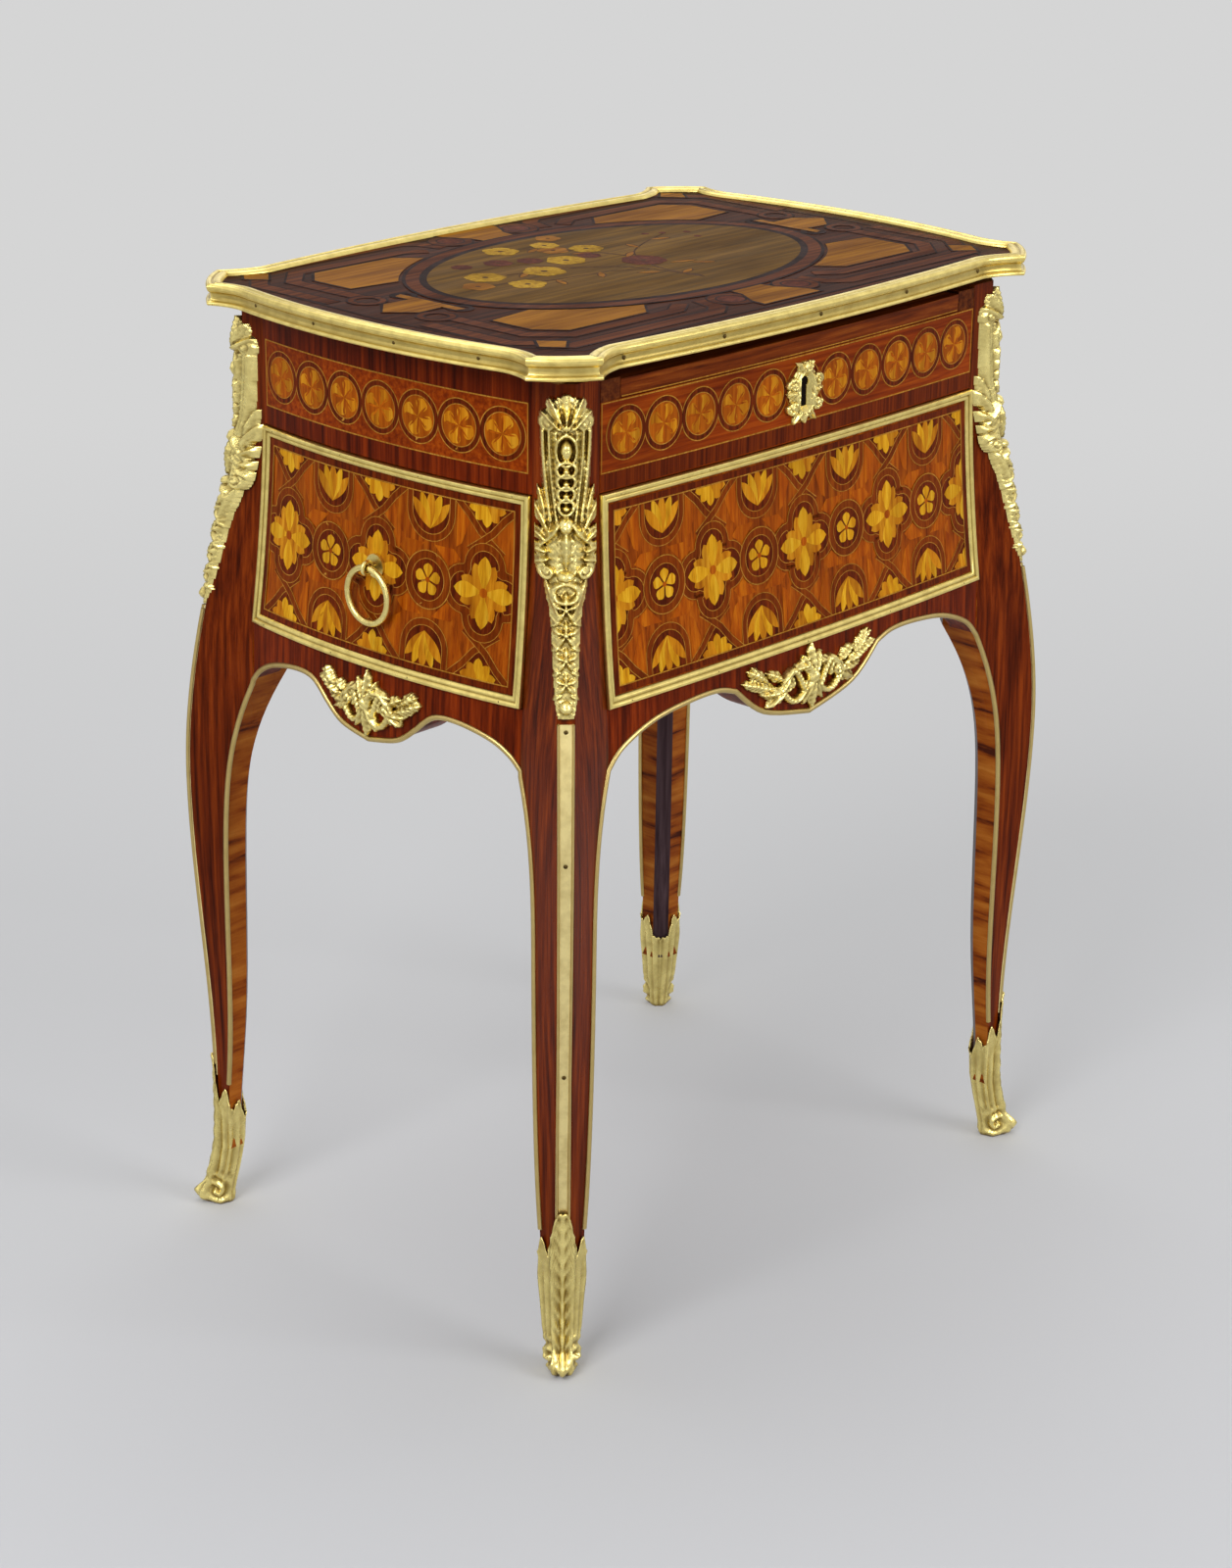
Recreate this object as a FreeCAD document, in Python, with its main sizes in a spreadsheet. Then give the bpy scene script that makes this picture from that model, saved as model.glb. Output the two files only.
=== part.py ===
import FreeCAD, Part
import Sketcher
import math
import os
import re

# Dressing table with a sliding top, a coupled upper drawer, a writing slide and a side drawer.
# Millimetres. +Z up, X along the width, the front faces -Y, origin on the floor under the middle.

doc = FreeCAD.newDocument("DressingTable")
V = FreeCAD.Vector

# Driving sizes
SIZES = [
    ("table_height", 710.0),
    # top board and gilt rim, plan sizes from the middle
    ("rim_height", 15.0),
    ("rim_width", 5.0),
    ("rim_stand", 3.0),
    ("rim_lip", 2.6),
    ("rim_bead", 3.2),
    ("rim_step", 1.4),
    ("side_reach", 265.5),
    ("side_neck", 252.5),
    ("front_reach", 179.0),
    ("front_neck", 169.8),
    ("neck_side_place", 122.0),
    ("neck_front_place", 192.0),
    ("ear_width_x", 258.0),
    ("ear_side_y", 150.0),
    ("ear_front_x", 221.5),
    ("ear_width_y", 183.0),
    ("ear_bulge", 3.0),
    ("cove_depth", 2.4),
    # carcass
    ("carcass_top", 688.0),
    ("face_x", 228.0),
    ("face_y", 157.5),
    ("inside_x", 218.0),
    ("inside_y", 147.5),
    ("post_inner_x", 197.2),
    ("post_inner_y", 127.7),
    ("side_bow", 12.0),
    ("front_bow", 5.0),
    ("frieze_base", 612.0),
    ("panel_base", 470.0),
    ("panel_spread", 3.8),
    ("panel_lean", 12.5),
    ("joint_gap", 0.8),
    # legs
    ("corner_flat", 12.0),
    ("knee_level", 350.0),
    ("knee_out", 33.0),
    ("ankle_level", 107.0),
    ("ankle_out", 24.5),
    ("ankle_depth", 21.0),
    ("thigh_depth", 42.0),
    ("arch_run", 130.0),
    ("inner_flat", 9.2),
    ("leg_end", 50.0),
    # feet
    ("sabot_height", 107.0),
    ("sabot_wall", 1.8),
    ("toe_out", 11.0),
    # apron
    ("apron_arch_front", 457.6),
    ("apron_arch_side", 450.6),
    ("apron_lobe", 420.0),
    ("apron_end", 428.0),
    # gilt mouldings
    ("frame_width", 7.0),
    ("frame_proud", 3.2),
    ("mount_height", 212.0),
    ("mount_width", 35.0),
    ("mount_proud", 9.0),
    ("apron_mount_width", 146.0),
    ("apron_mount_side_width", 104.0),
    ("apron_mount_height", 50.0),
    ("apron_mount_proud", 8.0),
    # boards
    ("dust_board_thick", 6.0),
    ("bottom_board_thick", 7.0),
    # upper drawer
    ("drawer_gap", 0.6),
    ("drawer_front_thick", 11.0),
    ("drawer_face_height", 59.0),
    ("drawer_side_thick", 8.0),
    ("drawer_depth", 293.0),
    ("drawer_bottom_thick", 5.0),
    ("drawer_back_thick", 8.0),
    ("cheek_inner_x", 178.5),
    ("cheek_thick", 11.5),
    ("cheek_height", 28.0),
    ("cheek_rise", 14.2),
    ("partition_thick", 4.0),
    ("partition_place", 96.0),
    # writing slide
    ("slide_thick", 12.0),
    ("slide_gap", 0.5),
    ("slide_length", 268.0),
    ("slide_travel", 200.0),
    ("tongue_width", 5.5),
    ("tongue_height", 4.0),
    ("tongue_drop", 3.8),
    # racks and pinions
    ("gear_module", 1.25),
    ("gear_teeth", 12.0),
    ("gear_pressure_angle", 25.0),
    ("gear_backlash", 0.35),
    ("tooth_top", 1.0),
    ("tooth_root", 1.45),
    ("gear_play", 0.05),
    ("pinion_bore", 2.05),
    ("pinion_pin", 2.0),
    ("table_travel", 140.0),
    ("rack_spare", 6.0),
    ("lower_rack_height", 8.0),
    ("batten_height", 6.2),
    ("batten_lip", 3.6),
    ("batten_lip_height", 2.2),
    ("rail_gap", 0.35),
    # side drawer
    ("side_drawer_length", 396.0),
    ("side_drawer_half", 124.0),
    ("side_drawer_wall", 8.0),
    ("side_drawer_height", 112.0),
    ("side_drawer_bottom_thick", 6.0),
    ("ring_radius", 19.2),
    ("ring_wire", 2.35),
    ("ring_level", 541.0),
    ("ring_stand", 8.0),
    ("eye_gap", 0.5),
    ("eye_wire", 1.4),
    ("rosette_radius", 8.2),
    ("rosette_thick", 2.6),
    # lock and mirror
    ("lock_width", 38.0),
    ("lock_height", 34.0),
    ("lock_thick", 7.0),
    ("plate_width", 34.0),
    ("plate_height", 41.0),
    ("plate_thick", 3.0),
    ("plate_level", 646.0),
    ("keyhole_radius", 2.3),
    ("mirror_thick", 7.0),
    ("drawer_lift", 2.0),
    ("guide_height", 26.0),
    ("runner_thick", 4.7),
    ("fence_height", 10.0),
    ("mirror_gap", 1.0),
    ("overrun", 20.0),
]

sheet = doc.addObject("Spreadsheet::Sheet", "Sizes")
for row, (alias, value) in enumerate(SIZES, start=1):
    sheet.set(f"A{row}", alias)
    sheet.set(f"B{row}", str(value))
    sheet.setAlias(f"B{row}", alias)
doc.recompute()

ALIASES = [alias for alias, _ in SIZES]
parts = []


def s(alias):
    """Reads one named size from the sheet."""
    return float(sheet.get(alias))


def bound(text):
    """Writes the aliases in a text as references to the sheet."""
    return re.sub(r"[a-z_]{2,}", lambda m: "Sizes." + m.group() if m.group() in ALIASES else m.group(), text)


def value_of(text):
    """Value of a text of sizes."""
    return float(sheet.evalExpression(re.sub(r"[a-z_]{2,}", lambda m: str(s(m.group())), text)))


def keep(obj, label):
    """Names a sub-part and lists it for export."""
    obj.Label = label
    parts.append(obj)
    return obj


def feature(label, shape, place=None):
    """Adds a sub-part whose shape is worked out from the sheet."""
    obj = doc.addObject("Part::Feature", label)
    obj.Shape = shape
    obj.Placement = place or FreeCAD.Placement()
    return keep(obj, label)


def box(name, low, high):
    """Adds a box between two corners, each given as three texts of sizes."""
    obj = doc.addObject("Part::Box", name)
    for prop, a, b in zip(("Length", "Width", "Height"), low, high):
        obj.setExpression(prop, bound(f"({b}) - ({a})"))
    for axis, a in zip("xyz", low):
        obj.setExpression(f"Placement.Base.{axis}", bound(a))
    return obj


def combine(kind, name, members):
    """Joins helper solids: Part::MultiFuse makes one solid, Part::Compound keeps like solids together."""
    obj = doc.addObject(kind, name)
    if kind == "Part::Compound":
        obj.Links = members
    else:
        obj.Shapes = members
    return obj


def pair(label, low, high):
    """A left and a right box, mirrored over X."""
    right = box(label + "_right_solid", low, high)
    mirrored_low = [f"-({high[0]})", low[1], low[2]]
    mirrored_high = [f"-({low[0]})", high[1], high[2]]
    left = box(label + "_left_solid", mirrored_low, mirrored_high)
    return keep(combine("Part::Compound", label, [left, right]), label)


def turned(angle):
    """A turn about the upright axis."""
    return FreeCAD.Placement(V(), FreeCAD.Rotation(V(0, 0, 1), angle))


def polygon(points):
    """Closed wire through points."""
    return Part.makePolygon(list(points) + [points[0]])


def prism(points, height):
    """Upright prism over a closed outline."""
    return Part.Face(polygon(points)).extrude(V(0, 0, height))


def mirrored_x(shape):
    """The same shape on the other side of the middle."""
    return shape.mirror(V(), V(1, 0, 0))


# Faces of the carcass, which lean out from the frieze down to the apron

def fall(level):
    """Share of the way from the frieze down to the apron."""
    return max((s("frieze_base") - level) / (s("frieze_base") - s("panel_base")), 0.0)


def lean(level):
    """How far a face stands out beyond the frieze at a level."""
    early_share, late_share = 0.45, 0.55
    share = fall(level)
    return s("panel_lean") * (early_share * share + late_share * min(share, 1.0) ** 2)


def spread(level):
    """How much wider the opening is at a level, on each side."""
    return s("panel_spread") * min(fall(level), 1.0)


def bowed_wire(half, face, bow, back, level):
    """Plan outline of a board whose front edge bows towards -Y."""
    a, b = V(-half, -face, level), V(half, -face, level)
    c, d = V(half, -back, level), V(-half, -back, level)
    front = Part.Arc(a, V(0, -face - bow, level), b).toShape()
    return Part.Wire([front, Part.makeLine(b, c), Part.makeLine(c, d), Part.makeLine(d, a)])


def bowed_slab(half_of, face_of, bow, back, levels):
    """A bowed board through several levels."""
    return Part.makeLoft([bowed_wire(half_of(z), face_of(z), bow, back, z) for z in levels], True, False)


def bowed_board(label, half, face, bow, back, base, height, angle):
    """A bowed board of one plan outline, as a sketch and a pad."""
    body = doc.addObject("PartDesign::Body", label)
    sketch = body.newObject("Sketcher::SketchObject", label + "_plan")
    plane = [f for f in body.Origin.OriginFeatures if f.Role == "XY_Plane"][0]
    sketch.AttachmentSupport = [(plane, "")]
    sketch.MapMode = "FlatFace"
    w, f, g, k = (value_of(text) for text in (half, face, bow, back))
    radius = (w * w + g * g) / (g + g)
    centre = V(0, -f - g + radius, 0)
    ends = [math.atan2(-f - centre.y, side) for side in (-w, w)]
    sketch.addGeometry(Part.ArcOfCircle(Part.Circle(centre, V(0, 0, 1), radius), ends[0], ends[1]), False)
    for a, b in (((w, -f), (w, -k)), ((w, -k), (-w, -k)), ((-w, -k), (-w, -f))):
        sketch.addGeometry(Part.LineSegment(V(*a, 0), V(*b, 0)), False)
    rule = sketch.addConstraint
    for line in range(4):
        rule(Sketcher.Constraint("Coincident", line, 2, (line + 1) % 4, 1))
    rule(Sketcher.Constraint("Vertical", 1))
    rule(Sketcher.Constraint("Vertical", 3))
    rule(Sketcher.Constraint("Symmetric", 1, 2, 2, 2, -2))
    wide = rule(Sketcher.Constraint("DistanceX", 2, 2, 1, 2, w + w))
    deep = rule(Sketcher.Constraint("DistanceY", 0, 2, 1, 2, f - k))
    rear = rule(Sketcher.Constraint("DistanceY", 1, 2, -1, 1, k))
    bend = rule(Sketcher.Constraint("Radius", 0, radius))
    sketch.setExpression(f"Constraints[{wide}]", bound(f"({half}) * 2"))
    sketch.setExpression(f"Constraints[{deep}]", bound(f"({face}) - ({back})"))
    sketch.setExpression(f"Constraints[{rear}]", bound(back))
    sketch.setExpression(f"Constraints[{bend}]", bound(f"(({half}) ^ 2 + ({bow}) ^ 2) / (2 * ({bow}))"))
    pad = body.newObject("PartDesign::Pad", label + "_pad")
    pad.Profile = sketch
    pad.setExpression("Length", bound(height))
    body.Placement = turned(angle)
    body.setExpression("Placement.Base.z", bound(base))
    return keep(body, label)


FRONT, RIGHT, BACK, LEFT = 0, 90, 180, 270

# Legs: a post at each corner that runs on into a cabriole leg

flat_half = s("corner_flat") * math.sqrt(0.5)


def knee(level):
    """How far the corner stands out beyond the frieze's corner at a level."""
    top, low = s("frieze_base"), s("knee_level")
    if level >= low:
        share = max((top - level) / (top - low), 0.0)
        slow_share, fast_share = 0.4, 0.6
        slow = share * share * (3.0 - share - share)
        return s("knee_out") * (slow_share * slow + fast_share * (1.0 - (1.0 - share) ** 2))
    share = min((low - level) / (low - s("ankle_level")), 1.0)
    return s("knee_out") + (s("ankle_out") - s("knee_out")) * share * share * (3.0 - share - share)


def below_apron(level):
    """Share of the way up from the ankle to the apron's end."""
    return max(level - s("ankle_level"), 0.0) / (s("apron_end") - s("ankle_level"))


def leg_depth(level):
    """Width of a leg from its corner to its inner edge, below the apron's end."""
    at_apron = s("face_x") + knee(s("apron_end")) - s("post_inner_x") - s("panel_spread")
    arch_share = max(1.0 - (s("apron_end") - level) / s("arch_run"), 0.0)
    straight = (s("thigh_depth") - s("ankle_depth")) * below_apron(level) ** 0.8
    return s("ankle_depth") + straight + (at_apron - s("thigh_depth")) * arch_share ** 3


def face_fall(level):
    """How far a leg's outer face falls back from its corner to its inner edge."""
    at_apron = knee(s("apron_end")) - lean(s("apron_end"))
    return at_apron * below_apron(level) ** 1.4


def leg_points(level, grow=0.0):
    """Plan outline of the leg at +X and -Y, at a level."""
    x, y = s("face_x") + knee(level) + grow, s("face_y") + knee(level) + grow
    if level >= s("apron_end"):
        inner_x, inner_y = s("post_inner_x") + spread(level), s("post_inner_y") + spread(level)
        edge_x, edge_y = s("face_x") + lean(level), s("face_y") + lean(level)
    else:
        inner_x, inner_y = x - leg_depth(level) - grow - grow, y - leg_depth(level) - grow - grow
        edge_x, edge_y = x - face_fall(level), y - face_fall(level)
    cut = s("inner_flat")
    return [V(x, -(y - flat_half), level), V(x - flat_half, -y, level), V(inner_x, -edge_y, level),
            V(inner_x, -(inner_y + cut), level), V(inner_x + cut, -inner_y, level),
            V(edge_x, -inner_y, level)]


def between(high, low, count):
    """Even levels from one height down to another."""
    return [high + (low - high) * i / count for i in range(count + 1)]


post_levels = between(s("frieze_base"), s("apron_end"), 5)
thigh_levels = between(s("apron_end"), s("apron_end") - s("arch_run"), 5)
shin_levels = between(s("apron_end") - s("arch_run"), s("leg_end"), 6)
post = prism(leg_points(s("frieze_base")), s("carcass_top") - s("frieze_base"))
upper = Part.makeLoft([polygon(leg_points(z)) for z in post_levels], True, False)
lower = Part.makeLoft([polygon(leg_points(z)) for z in thigh_levels + shin_levels[1:]], True, False)
leg = post.fuse([upper, lower]).removeSplitter()
rear_leg = leg.mirror(V(), V(0, 1, 0))
legs = [leg, mirrored_x(leg), rear_leg, mirrored_x(rear_leg)]

toe_shares = [(1.0, 0.0, 1.0), (0.66, 0.16, 0.98), (0.36, 0.6, 0.93), (0.16, 1.0, 0.86), (0.0, 0.96, 0.7)]


def toe_points(height_share, out_share, size_share):
    """Plan outline of the foot, pushed outwards along the corner's diagonal."""
    ring = leg_points(s("leg_end"), s("sabot_wall"))
    middle = sum(ring, V()) * (1.0 / len(ring))
    shift = s("toe_out") * out_share
    moved = [middle + (p - middle) * size_share + V(shift, -shift, 0) for p in ring]
    return [V(p.x, p.y, s("leg_end") * height_share) for p in moved]


cuff = [leg_points(z, s("sabot_wall")) for z in between(s("sabot_height"), s("leg_end"), 2)[:-1]]
toe = [toe_points(*shares) for shares in toe_shares]
sabot = Part.makeLoft([polygon(p) for p in cuff + toe], True, False).cut(leg)


def corner_point(level, out, across):
    """Point beside the corner's flat: out along the diagonal, across it."""
    x = s("face_x") + knee(level) - flat_half / 2.0
    y = s("face_y") + knee(level) - flat_half / 2.0
    step = math.sqrt(0.5)
    return V(x + (out + across) * step, -y + (across - out) * step, level)


mount_base = s("carcass_top") - s("frame_proud") - s("mount_height")
mount_shares = [(1.0, 0.4, 0.55), (0.92, 0.8, 0.9), (0.76, 1.0, 1.0), (0.6, 0.9, 0.85), (0.5, 1.04, 1.0),
                (0.4, 1.0, 0.9), (0.28, 0.55, 0.7), (0.14, 0.42, 0.6), (0.0, 0.24, 0.4)]


def mount_points(height_share, width_share, proud_share):
    """Outline of the corner mount at a level, wrapped round the post's corner."""
    level = mount_base + s("mount_height") * height_share
    half, proud = s("mount_width") * width_share / 2.0, s("mount_proud") * proud_share
    ridge, flat, bite = s("corner_flat") / 3.0, s("corner_flat") / 2.0, s("sabot_wall")
    outer_slope_share, inner_slope_share = 0.7, 1.0
    side = proud - outer_slope_share * max(half - ridge, 0.0)
    root = -bite - inner_slope_share * max(half - flat, 0.0)
    outline = [(root, -half), (side, -half), (proud, -ridge), (proud, ridge), (side, half), (root, half),
               (-bite, ridge), (-bite, -ridge)]
    return [corner_point(level, out, across) for out, across in outline]


corner_mount = Part.makeLoft([polygon(mount_points(*m)) for m in mount_shares], True, False).cut(leg)

fillet_thick = s("sabot_wall") / 2.0
fillet_levels = between(mount_base, s("sabot_height"), 12)


def fillet_points(level):
    """Section of the gilt strip on a leg's corner."""
    half = s("corner_flat") / 2.0 - fillet_thick
    return [corner_point(level, out, across) for out, across in
            ((0.0, -half), (fillet_thick, -half), (fillet_thick, half), (0.0, half))]


fillet = Part.makeLoft([polygon(fillet_points(z)) for z in fillet_levels], True, False).cut(leg)


def at_corner(shape, name):
    """The shape of the front right corner moved to another corner."""
    if "left" in name:
        shape = mirrored_x(shape)
    if "back" in name:
        shape = shape.mirror(V(), V(0, 1, 0))
    return shape


CORNERS = ["front_left", "front_right", "back_left", "back_right"]
for corner in CORNERS:
    feature("leg_" + corner, at_corner(leg, corner))
    feature("sabot_" + corner, at_corner(sabot, corner))
    feature("corner_mount_" + corner, at_corner(corner_mount, corner))
feature("corner_fillets", Part.makeCompound([at_corner(fillet, corner) for corner in CORNERS]))

# Friezes, panels and their gilt frames

frieze_height = "carcass_top - frieze_base"
bowed_board("frieze_right", "post_inner_y", "face_x", "side_bow", "inside_x", "frieze_base", frieze_height, RIGHT)
bowed_board("frieze_left", "post_inner_y", "face_x", "side_bow", "inside_x", "frieze_base", frieze_height, LEFT)
bowed_board("frieze_back", "post_inner_x", "face_y", "front_bow", "inside_y", "frieze_base", frieze_height, BACK)


def panel_slab(long_side, gap, proud):
    """A leaning panel; the long side belongs to the front and back."""
    inner = s("post_inner_x") if long_side else s("post_inner_y")
    face, bow = (s("face_y"), s("front_bow")) if long_side else (s("face_x"), s("side_bow"))
    back = s("inside_y") if long_side else s("inside_x")
    levels = between(s("frieze_base") - gap, s("panel_base") + gap, 4)
    return bowed_slab(lambda z: inner + spread(z) - gap, lambda z: face + lean(z) + proud, bow, back, levels)


def panel_frame(long_side, gap):
    """The gilt moulding round a panel, as a layer on its face with a window."""
    layer = panel_slab(long_side, gap, s("frame_proud")).cut(panel_slab(long_side, gap, 0.0))
    inner = s("post_inner_x") if long_side else s("post_inner_y")
    edge = s("frame_width") + gap
    high, low = s("frieze_base") - edge, s("panel_base") + edge
    reach = s("side_reach") + s("overrun")
    top_half, low_half = inner + spread(high) - edge, inner + spread(low) - edge
    window = [V(-top_half, -reach, high), V(top_half, -reach, high), V(low_half, -reach, low), V(-low_half, -reach, low)]
    return layer.cut(Part.Face(polygon(window)).extrude(V(0, reach, 0)))


for name, long_side, angle in (("front", True, FRONT), ("back", True, BACK), ("right", False, RIGHT)):
    slab = panel_slab(long_side, 0.0, 0.0)
    slab.Placement = turned(angle)
    feature("panel_" + name, slab.cut(legs))
    feature("panel_frame_" + name, panel_frame(long_side, 0.0), turned(angle))

# Aprons: arched rails under the panels, with a lobe in the middle

front_arch_shares = [(1.0, 0.0), (0.93, 0.44), (0.78, 0.84), (0.6, 1.0), (0.47, 1.0), (0.385, 0.84)]
side_arch_shares = [(1.0, 0.0), (0.93, 0.4), (0.81, 0.76), (0.61, 1.0), (0.45, 0.94), (0.33, 0.4)]
lobe_shares = [(0.62, 0.34), (0.0, 0.0)]


def spline(points):
    """A smooth edge through points."""
    curve = Part.BSplineCurve()
    curve.interpolate(points)
    return curve.toShape()


def apron(long_side):
    """One apron, bowed and leaning like the panel above it, cut to its arches."""
    inner = s("post_inner_x") if long_side else s("post_inner_y")
    face, bow = (s("face_y"), s("front_bow")) if long_side else (s("face_x"), s("side_bow"))
    back = s("inside_y") if long_side else s("inside_x")
    half = inner + s("panel_spread")
    high, end, lobe = s("panel_base"), s("apron_end"), s("apron_lobe")
    crown = s("apron_arch_front") if long_side else s("apron_arch_side")
    shares = front_arch_shares if long_side else side_arch_shares
    slab = bowed_slab(lambda z: half, lambda z: face + lean(z), bow, back, between(high, lobe, 2))
    reach = s("side_reach") + s("overrun")
    arch = [V(half * a, -reach, end + (crown - end) * b) for a, b in shares]
    cusp = arch[-1]
    dip = [cusp] + [V(cusp.x * a, -reach, lobe + (cusp.z - lobe) * b) for a, b in lobe_shares]
    flip = [V(-p.x, p.y, p.z) for p in reversed(dip[:-1])]
    right, bottom = spline(arch), spline(dip + flip)
    left = spline([V(-p.x, p.y, p.z) for p in reversed(arch)])
    top_right, top_left = V(half, -reach, high), V(-half, -reach, high)
    rim = Part.Wire([Part.makeLine(top_left, top_right), Part.makeLine(top_right, arch[0]), right, bottom, left,
                     Part.makeLine(V(-half, -reach, end), top_left)])
    return slab.common(Part.Face(rim).extrude(V(0, reach, 0)))


apron_mount_shares = [(0.0, 1.0), (0.3, 0.8), (0.6, 0.62), (1.0, 0.72), (0.82, 0.4), (0.5, 0.2), (0.2, 0.06), (0.0, 0.0)]


def apron_mount(long_side):
    """The gilt mount on an apron's lobe, as a scalloped plate."""
    face, bow = (s("face_y"), s("front_bow")) if long_side else (s("face_x"), s("side_bow"))
    half = (s("apron_mount_width") if long_side else s("apron_mount_side_width")) / 2.0
    low = s("apron_lobe")
    right = [V(half * a, 0, low + s("apron_mount_height") * b) for a, b in apron_mount_shares]
    left = [V(-p.x, 0, p.z) for p in reversed(right[1:-1])]
    back = face + lean(s("apron_arch_side")) + bow - s("apron_mount_proud") / 2.0
    plate = Part.Face(polygon([V(p.x, -back, p.z) for p in right + left]))
    inner = s("post_inner_x") if long_side else s("post_inner_y")
    wall = bowed_slab(lambda z: inner, lambda z: face + lean(z), bow, s("inside_y") / 2.0,
                      between(s("panel_base") + s("overrun"), low - s("overrun"), 2))
    return plate.extrude(V(0, -s("apron_mount_proud"), 0)).cut(wall).cut(apron(long_side))


for name, long_side, angle in (("front", True, FRONT), ("right", False, RIGHT),
                               ("back", True, BACK), ("left", False, LEFT)):
    feature("apron_" + name, apron(long_side), turned(angle))
    feature("apron_mount_" + name, apron_mount(long_side), turned(angle))

# Boards, guides and rails inside the carcass


def cross_board(label, top, thick):
    """A board that fills the carcass between its corner posts."""
    low, high = f"{top} - {thick}", top
    long_way = box(label + "_long", ["-inside_x", "-post_inner_y", low], ["inside_x", "post_inner_y", high])
    deep_way = box(label + "_deep", ["-post_inner_x", "-inside_y", low], ["post_inner_x", "inside_y", high])
    return keep(combine("Part::MultiFuse", label, [long_way, deep_way]), label)


cross_board("dust_board", "frieze_base", "dust_board_thick")
cross_board("bottom_board", "panel_base", "bottom_board_thick")
guide_top = "frieze_base + guide_height"
pair("drawer_guides", ["post_inner_x", "-post_inner_y", "frieze_base"],
     ["inside_x", "post_inner_y", guide_top])

runner_low = ["-post_inner_x", "side_drawer_half - side_drawer_wall", "panel_base"]
runner_high = ["post_inner_x", "inside_y", "panel_base + runner_thick"]
fence_low = ["-post_inner_x", "side_drawer_half + drawer_gap", "panel_base"]
fence_high = ["post_inner_x", "inside_y", "panel_base + runner_thick + fence_height"]
runners = []
for side in ("back", "front"):
    pieces = []
    for name, low, high in (("runner", runner_low, runner_high), ("fence", fence_low, fence_high)):
        if side == "front":
            low, high = [low[0], f"-({high[1]})", low[2]], [high[0], f"-({low[1]})", high[2]]
        pieces.append(box(f"{name}_{side}", low, high))
    runners.append(combine("Part::MultiFuse", "side_runner_" + side, pieces))
keep(combine("Part::Compound", "side_drawer_runners", runners), "side_drawer_runners")

# Racks and pinions that move the top back as the drawer comes forward

module, teeth = s("gear_module"), int(s("gear_teeth"))
pitch_radius = module * teeth / 2.0
pitch = math.pi * module
slope = math.tan(math.radians(s("gear_pressure_angle")))
half_tooth = pitch / 4.0 - s("gear_backlash") / 2.0
play = s("gear_play")
lower_pitch_x = s("post_inner_x") - s("drawer_gap") - s("tooth_top") - s("rail_gap") / 2.0
pinion_x = lower_pitch_x + pitch_radius + play
upper_pitch_x = pinion_x + pitch_radius + play


def rack_teeth(pitch_x, way, first, last, back_x, base, height):
    """Teeth along Y on a back strip; way is the side that the teeth point to."""
    count = range(math.floor(first / pitch) + 1, math.ceil(last / pitch))
    root_x, tip_x = pitch_x - way * s("tooth_root"), pitch_x + way * s("tooth_top")
    root_half = half_tooth + s("tooth_root") * slope
    tip_half = half_tooth - s("tooth_top") * slope
    outline = [V(back_x, first, base), V(root_x, first, base)]
    for i in count:
        middle = (i - 0.5) * pitch
        outline += [V(root_x, middle - root_half, base), V(tip_x, middle - tip_half, base),
                    V(tip_x, middle + tip_half, base), V(root_x, middle + root_half, base)]
    outline += [V(root_x, last, base), V(back_x, last, base)]
    return prism([p for p in outline if first <= p.y <= last], height)


def involute_pinion(height):
    """A pinion of involute teeth, one of them on the X axis."""
    base_radius = pitch_radius * math.cos(math.radians(s("gear_pressure_angle")))
    tip, root = pitch_radius + s("tooth_top"), pitch_radius - s("tooth_root")
    involute = lambda r: math.sqrt(max((r / base_radius) ** 2 - 1.0, 0.0)) - math.acos(min(base_radius / r, 1.0))
    half_angle = half_tooth / pitch_radius + involute(pitch_radius)
    radii = [root] + [base_radius + (tip - base_radius) * i / 5.0 for i in range(6)]
    outline = []
    for i in range(teeth):
        centre = 2.0 * math.pi * i / teeth
        flank = [(r, half_angle - involute(max(r, base_radius))) for r in radii]
        for r, a in flank:
            outline.append(V(r * math.cos(centre - a), r * math.sin(centre - a), 0))
        for r, a in reversed(flank):
            outline.append(V(r * math.cos(centre + a), r * math.sin(centre + a), 0))
    return prism(outline, height).cut(Part.makeCylinder(s("pinion_bore"), height))


face_top = s("frieze_base") + s("joint_gap") + s("drawer_face_height")
cheek_top = face_top + s("cheek_rise")
lower_rack_base = cheek_top - s("lower_rack_height") - s("slide_gap") * 4.0
batten_top = s("table_height") - s("rim_height")
batten_base = batten_top - s("batten_height")
pinion_base = lower_rack_base + s("slide_gap")
pinion_height = batten_top - s("slide_gap") * 2.0 - pinion_base
wheel = involute_pinion(pinion_height)
for name, side in (("left", -1.0), ("right", 1.0)):
    feature("pinion_" + name, wheel, FreeCAD.Placement(V(side * pinion_x, 0, pinion_base), FreeCAD.Rotation()))

bracket_half = s("pinion_bore") * 4.0
bracket_base = s("frieze_base") + s("guide_height")
bracket_top = pinion_base - s("slide_gap")
bracket = Part.makeBox(s("inside_x") - s("post_inner_x"), bracket_half * 2.0, bracket_top - bracket_base,
                       V(s("post_inner_x"), -bracket_half, bracket_base))
pin = Part.makeCylinder(s("pinion_pin"), pinion_height + s("slide_gap"), V(pinion_x, 0, bracket_top))
bracket = bracket.fuse(pin)
feature("pinion_brackets", Part.makeCompound([mirrored_x(bracket), bracket]))

rack_first, rack_last = -s("rack_spare"), s("table_travel") + s("rack_spare")
cheek_outer = s("cheek_inner_x") + s("cheek_thick")
lower_rack = rack_teeth(lower_pitch_x, 1.0, rack_first, rack_last, cheek_outer, lower_rack_base,
                        s("lower_rack_height"))
feature("drawer_racks", Part.makeCompound([mirrored_x(lower_rack), lower_rack]))

# Top rails on the carcass and the battens under the top that run in them

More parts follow.
